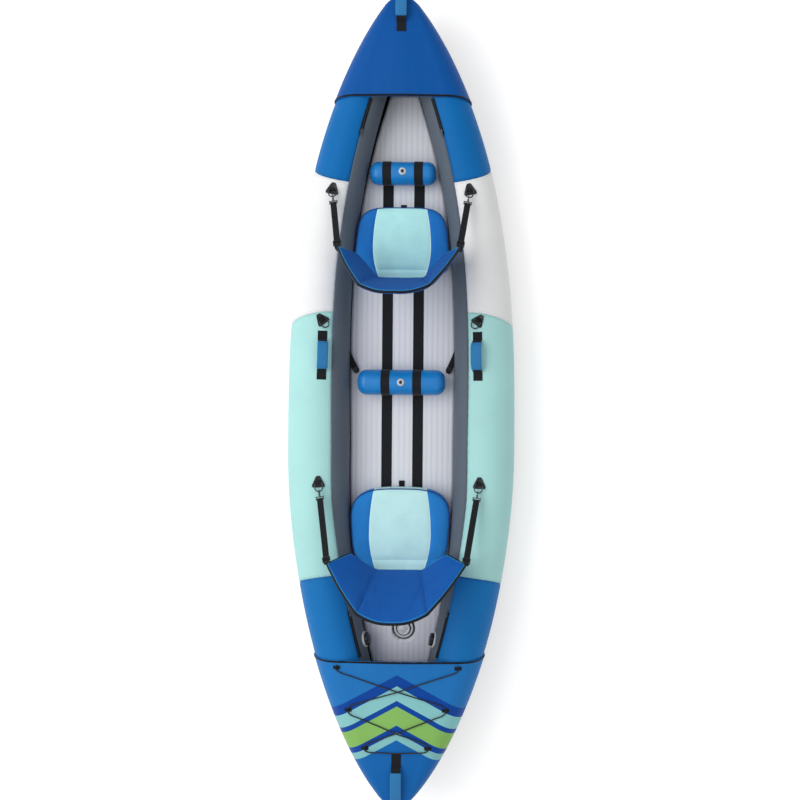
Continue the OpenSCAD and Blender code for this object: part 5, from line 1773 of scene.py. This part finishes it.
bend_k = np.array([-1, -0.46, 0, 0.46, 1])
bend = np.stack([bend_k * LOOPS[2, 0], LOOP_Y[2] - BEND_RUN * (1 - 0.4 * bend_k ** 2)], -1)
bend[[0, -1], 1] = LOOP_Y[2] - LOOP_RUN
route = np.concatenate([[near_loop(0, -1, 11 * MM)], leg(0, -1, 1, 1), leg(1, 1, 2, -1), bend,
                        leg(2, 1, 1, -1), leg(1, -1, 0, 1), [near_loop(0, 1, 11 * MM)]])
cut = np.stack([0.75 * route[:-1] + 0.25 * route[1:], 0.25 * route[:-1] + 0.75 * route[1:]], 1).reshape(-1, 2)
route = np.concatenate([route[:1], cut, route[-1:]])
hump = (CORD_D + 0.8 * MM) * np.cos(np.pi / 2 * np.clip(route[:, 0] / CROSS_HALF, -1, 1)) ** 2
late = np.arange(len(route)) > len(route) / 2
hump = np.where(late & (route[:, 1] > LOOP_Y[2]), hump, 0)
height = deck_z(route[:, 0], route[:, 1], DECK_T) + CORD_UP + hump
cord_path = smooth_path(np.concatenate([route, height[:, None]], 1), 420)
braid, tree, shader = finish("braided_elastic_cord", Roughness=0.7, IOR=1.5)
split = cloth_marks(tree)
plies = [wave(tree, math(tree, way, split[0], split[1]), 4 * MM) for way in ("ADD", "SUBTRACT")]
plait = math(tree, "MAXIMUM", *plies)
fleck = ramped(tree, plait, 0.2, 1.0)
tree.links.new(mixed(tree, fleck, "#16181d", "#31363f"), shader.inputs["Base Color"])
bumped(tree, shader, plait, 0.5, 0.4 * MM)
cord_part = sweep(cord_path, UP, outline(CORD_D, CORD_D, 1.0, 14))
cord = piece("laced_deck_cord", [cord_part], braid, "hull", ["deck_cord"], "elastic_cord")
cord_length = float(arc_length(cord_path)[-1])
tuple(cord_path[0])


def deck_frame(x, y):
    """Frame on the stern deck: Y along it, Z out of it."""
    def at(u, v):
        return np.array([u, v, float(deck_z(np.float64(u), np.float64(v), DECK_T))])
    along = unit(at(x, y + 4 * MM) - at(x, y - 4 * MM))
    out = unit(np.cross(along, at(x - 4 * MM, y) - at(x + 4 * MM, y)))
    return at(x, y), np.cross(along, out), along, out


def cord_loop(x, y):
    """Webbing loop: flat ends sewn to the deck and an arch over the cord."""
    spine = np.array([(-14, 1.5), (-9, 1.5), (-5.4, 2.2), (-4.6, 6), (-3, 9.0), (0, 9.8), (3, 9.0), (4.6, 6),
                      (5.4, 2.2), (9, 1.5), (14, 1.5)]) * MM
    flat = smooth_path(np.stack([spine[:, 0], 0 * spine[:, 0], spine[:, 1]], -1), 50)
    frame4 = deck_frame(x, y)
    return bent_band(flat, frame4, -frame4[2], outline(14 * MM, 1.2 * MM, 0.3, 14))


piece("deck_webbing_loops", both([cord_loop(x, y) for x, y in LOOPS]), webbing, "hull", ["cord_loops"],
      "black_webbing")
print("cord", round(cord_length, 3), "m")

# %% [markdown]
# ## Floor and light
# The boat lies on a plain pale floor under soft light: a bright even sky and one large lamp to port,
# which leaves the starboard side a little darker, as in the photograph. Where the camera or a mirror
# image sees the floor it also glows a little, so it reads as white paper and still keeps its shadow.

# %% Floor, world and lamp
PAPER_GLOW = 0.4
SKY = 0.62
floor_mesh = bpy.data.meshes.new("studio_floor")
corners = 30.0 * np.array([(-1, -1, 0), (1, -1, 0), (1, 1, 0), (-1, 1, 0)])
floor_mesh.from_pydata(corners.tolist(), [], [(0, 1, 2, 3)])
studio_floor = bpy.data.objects.new("studio_floor", floor_mesh)
bpy.context.scene.collection.objects.link(studio_floor)
paper, tree, shader = finish("studio_paper", Roughness=0.9)
shader.inputs["Base Color"].default_value = linear("#f7f7f7")
rays = node(tree, "LightPath", {}).outputs
mirrors = math(tree, "MAXIMUM", rays["Is Glossy Ray"], rays["Is Transmission Ray"])
seen = math(tree, "MAXIMUM", rays["Is Camera Ray"], mirrors)
shader.inputs["Emission Color"].default_value = (1, 1, 1, 1)
tree.links.new(math(tree, "MULTIPLY", seen, PAPER_GLOW), shader.inputs["Emission Strength"])
floor_mesh.materials.append(paper)
world = bpy.data.worlds.new("studio_sky")
world.use_nodes = True
sky = world.node_tree.nodes["Background"]
sky.inputs["Color"].default_value = (1, 1, 1, 1)
tree = world.node_tree
straight = node(tree, "LightPath", {}).outputs["Is Camera Ray"]
tree.links.new(scaled(tree, straight, 1 - SKY, SKY), sky.inputs["Strength"])
bpy.context.scene.world = world
lamp_data = bpy.data.lights.new("port_softbox", "AREA")
lamp_data.shape = "RECTANGLE"
lamp_data.size = 2.5
lamp_data.size_y = 4.5
lamp_data.energy = 88
lamp = bpy.data.objects.new("port_softbox", lamp_data)
lamp.location = (-2.6, 0.6, 3.4)
lamp.rotation_euler = Euler((0, -0.62, 0))
bpy.context.scene.collection.objects.link(lamp)
bpy.context.scene.view_settings.view_transform = "Standard"
print("light set")
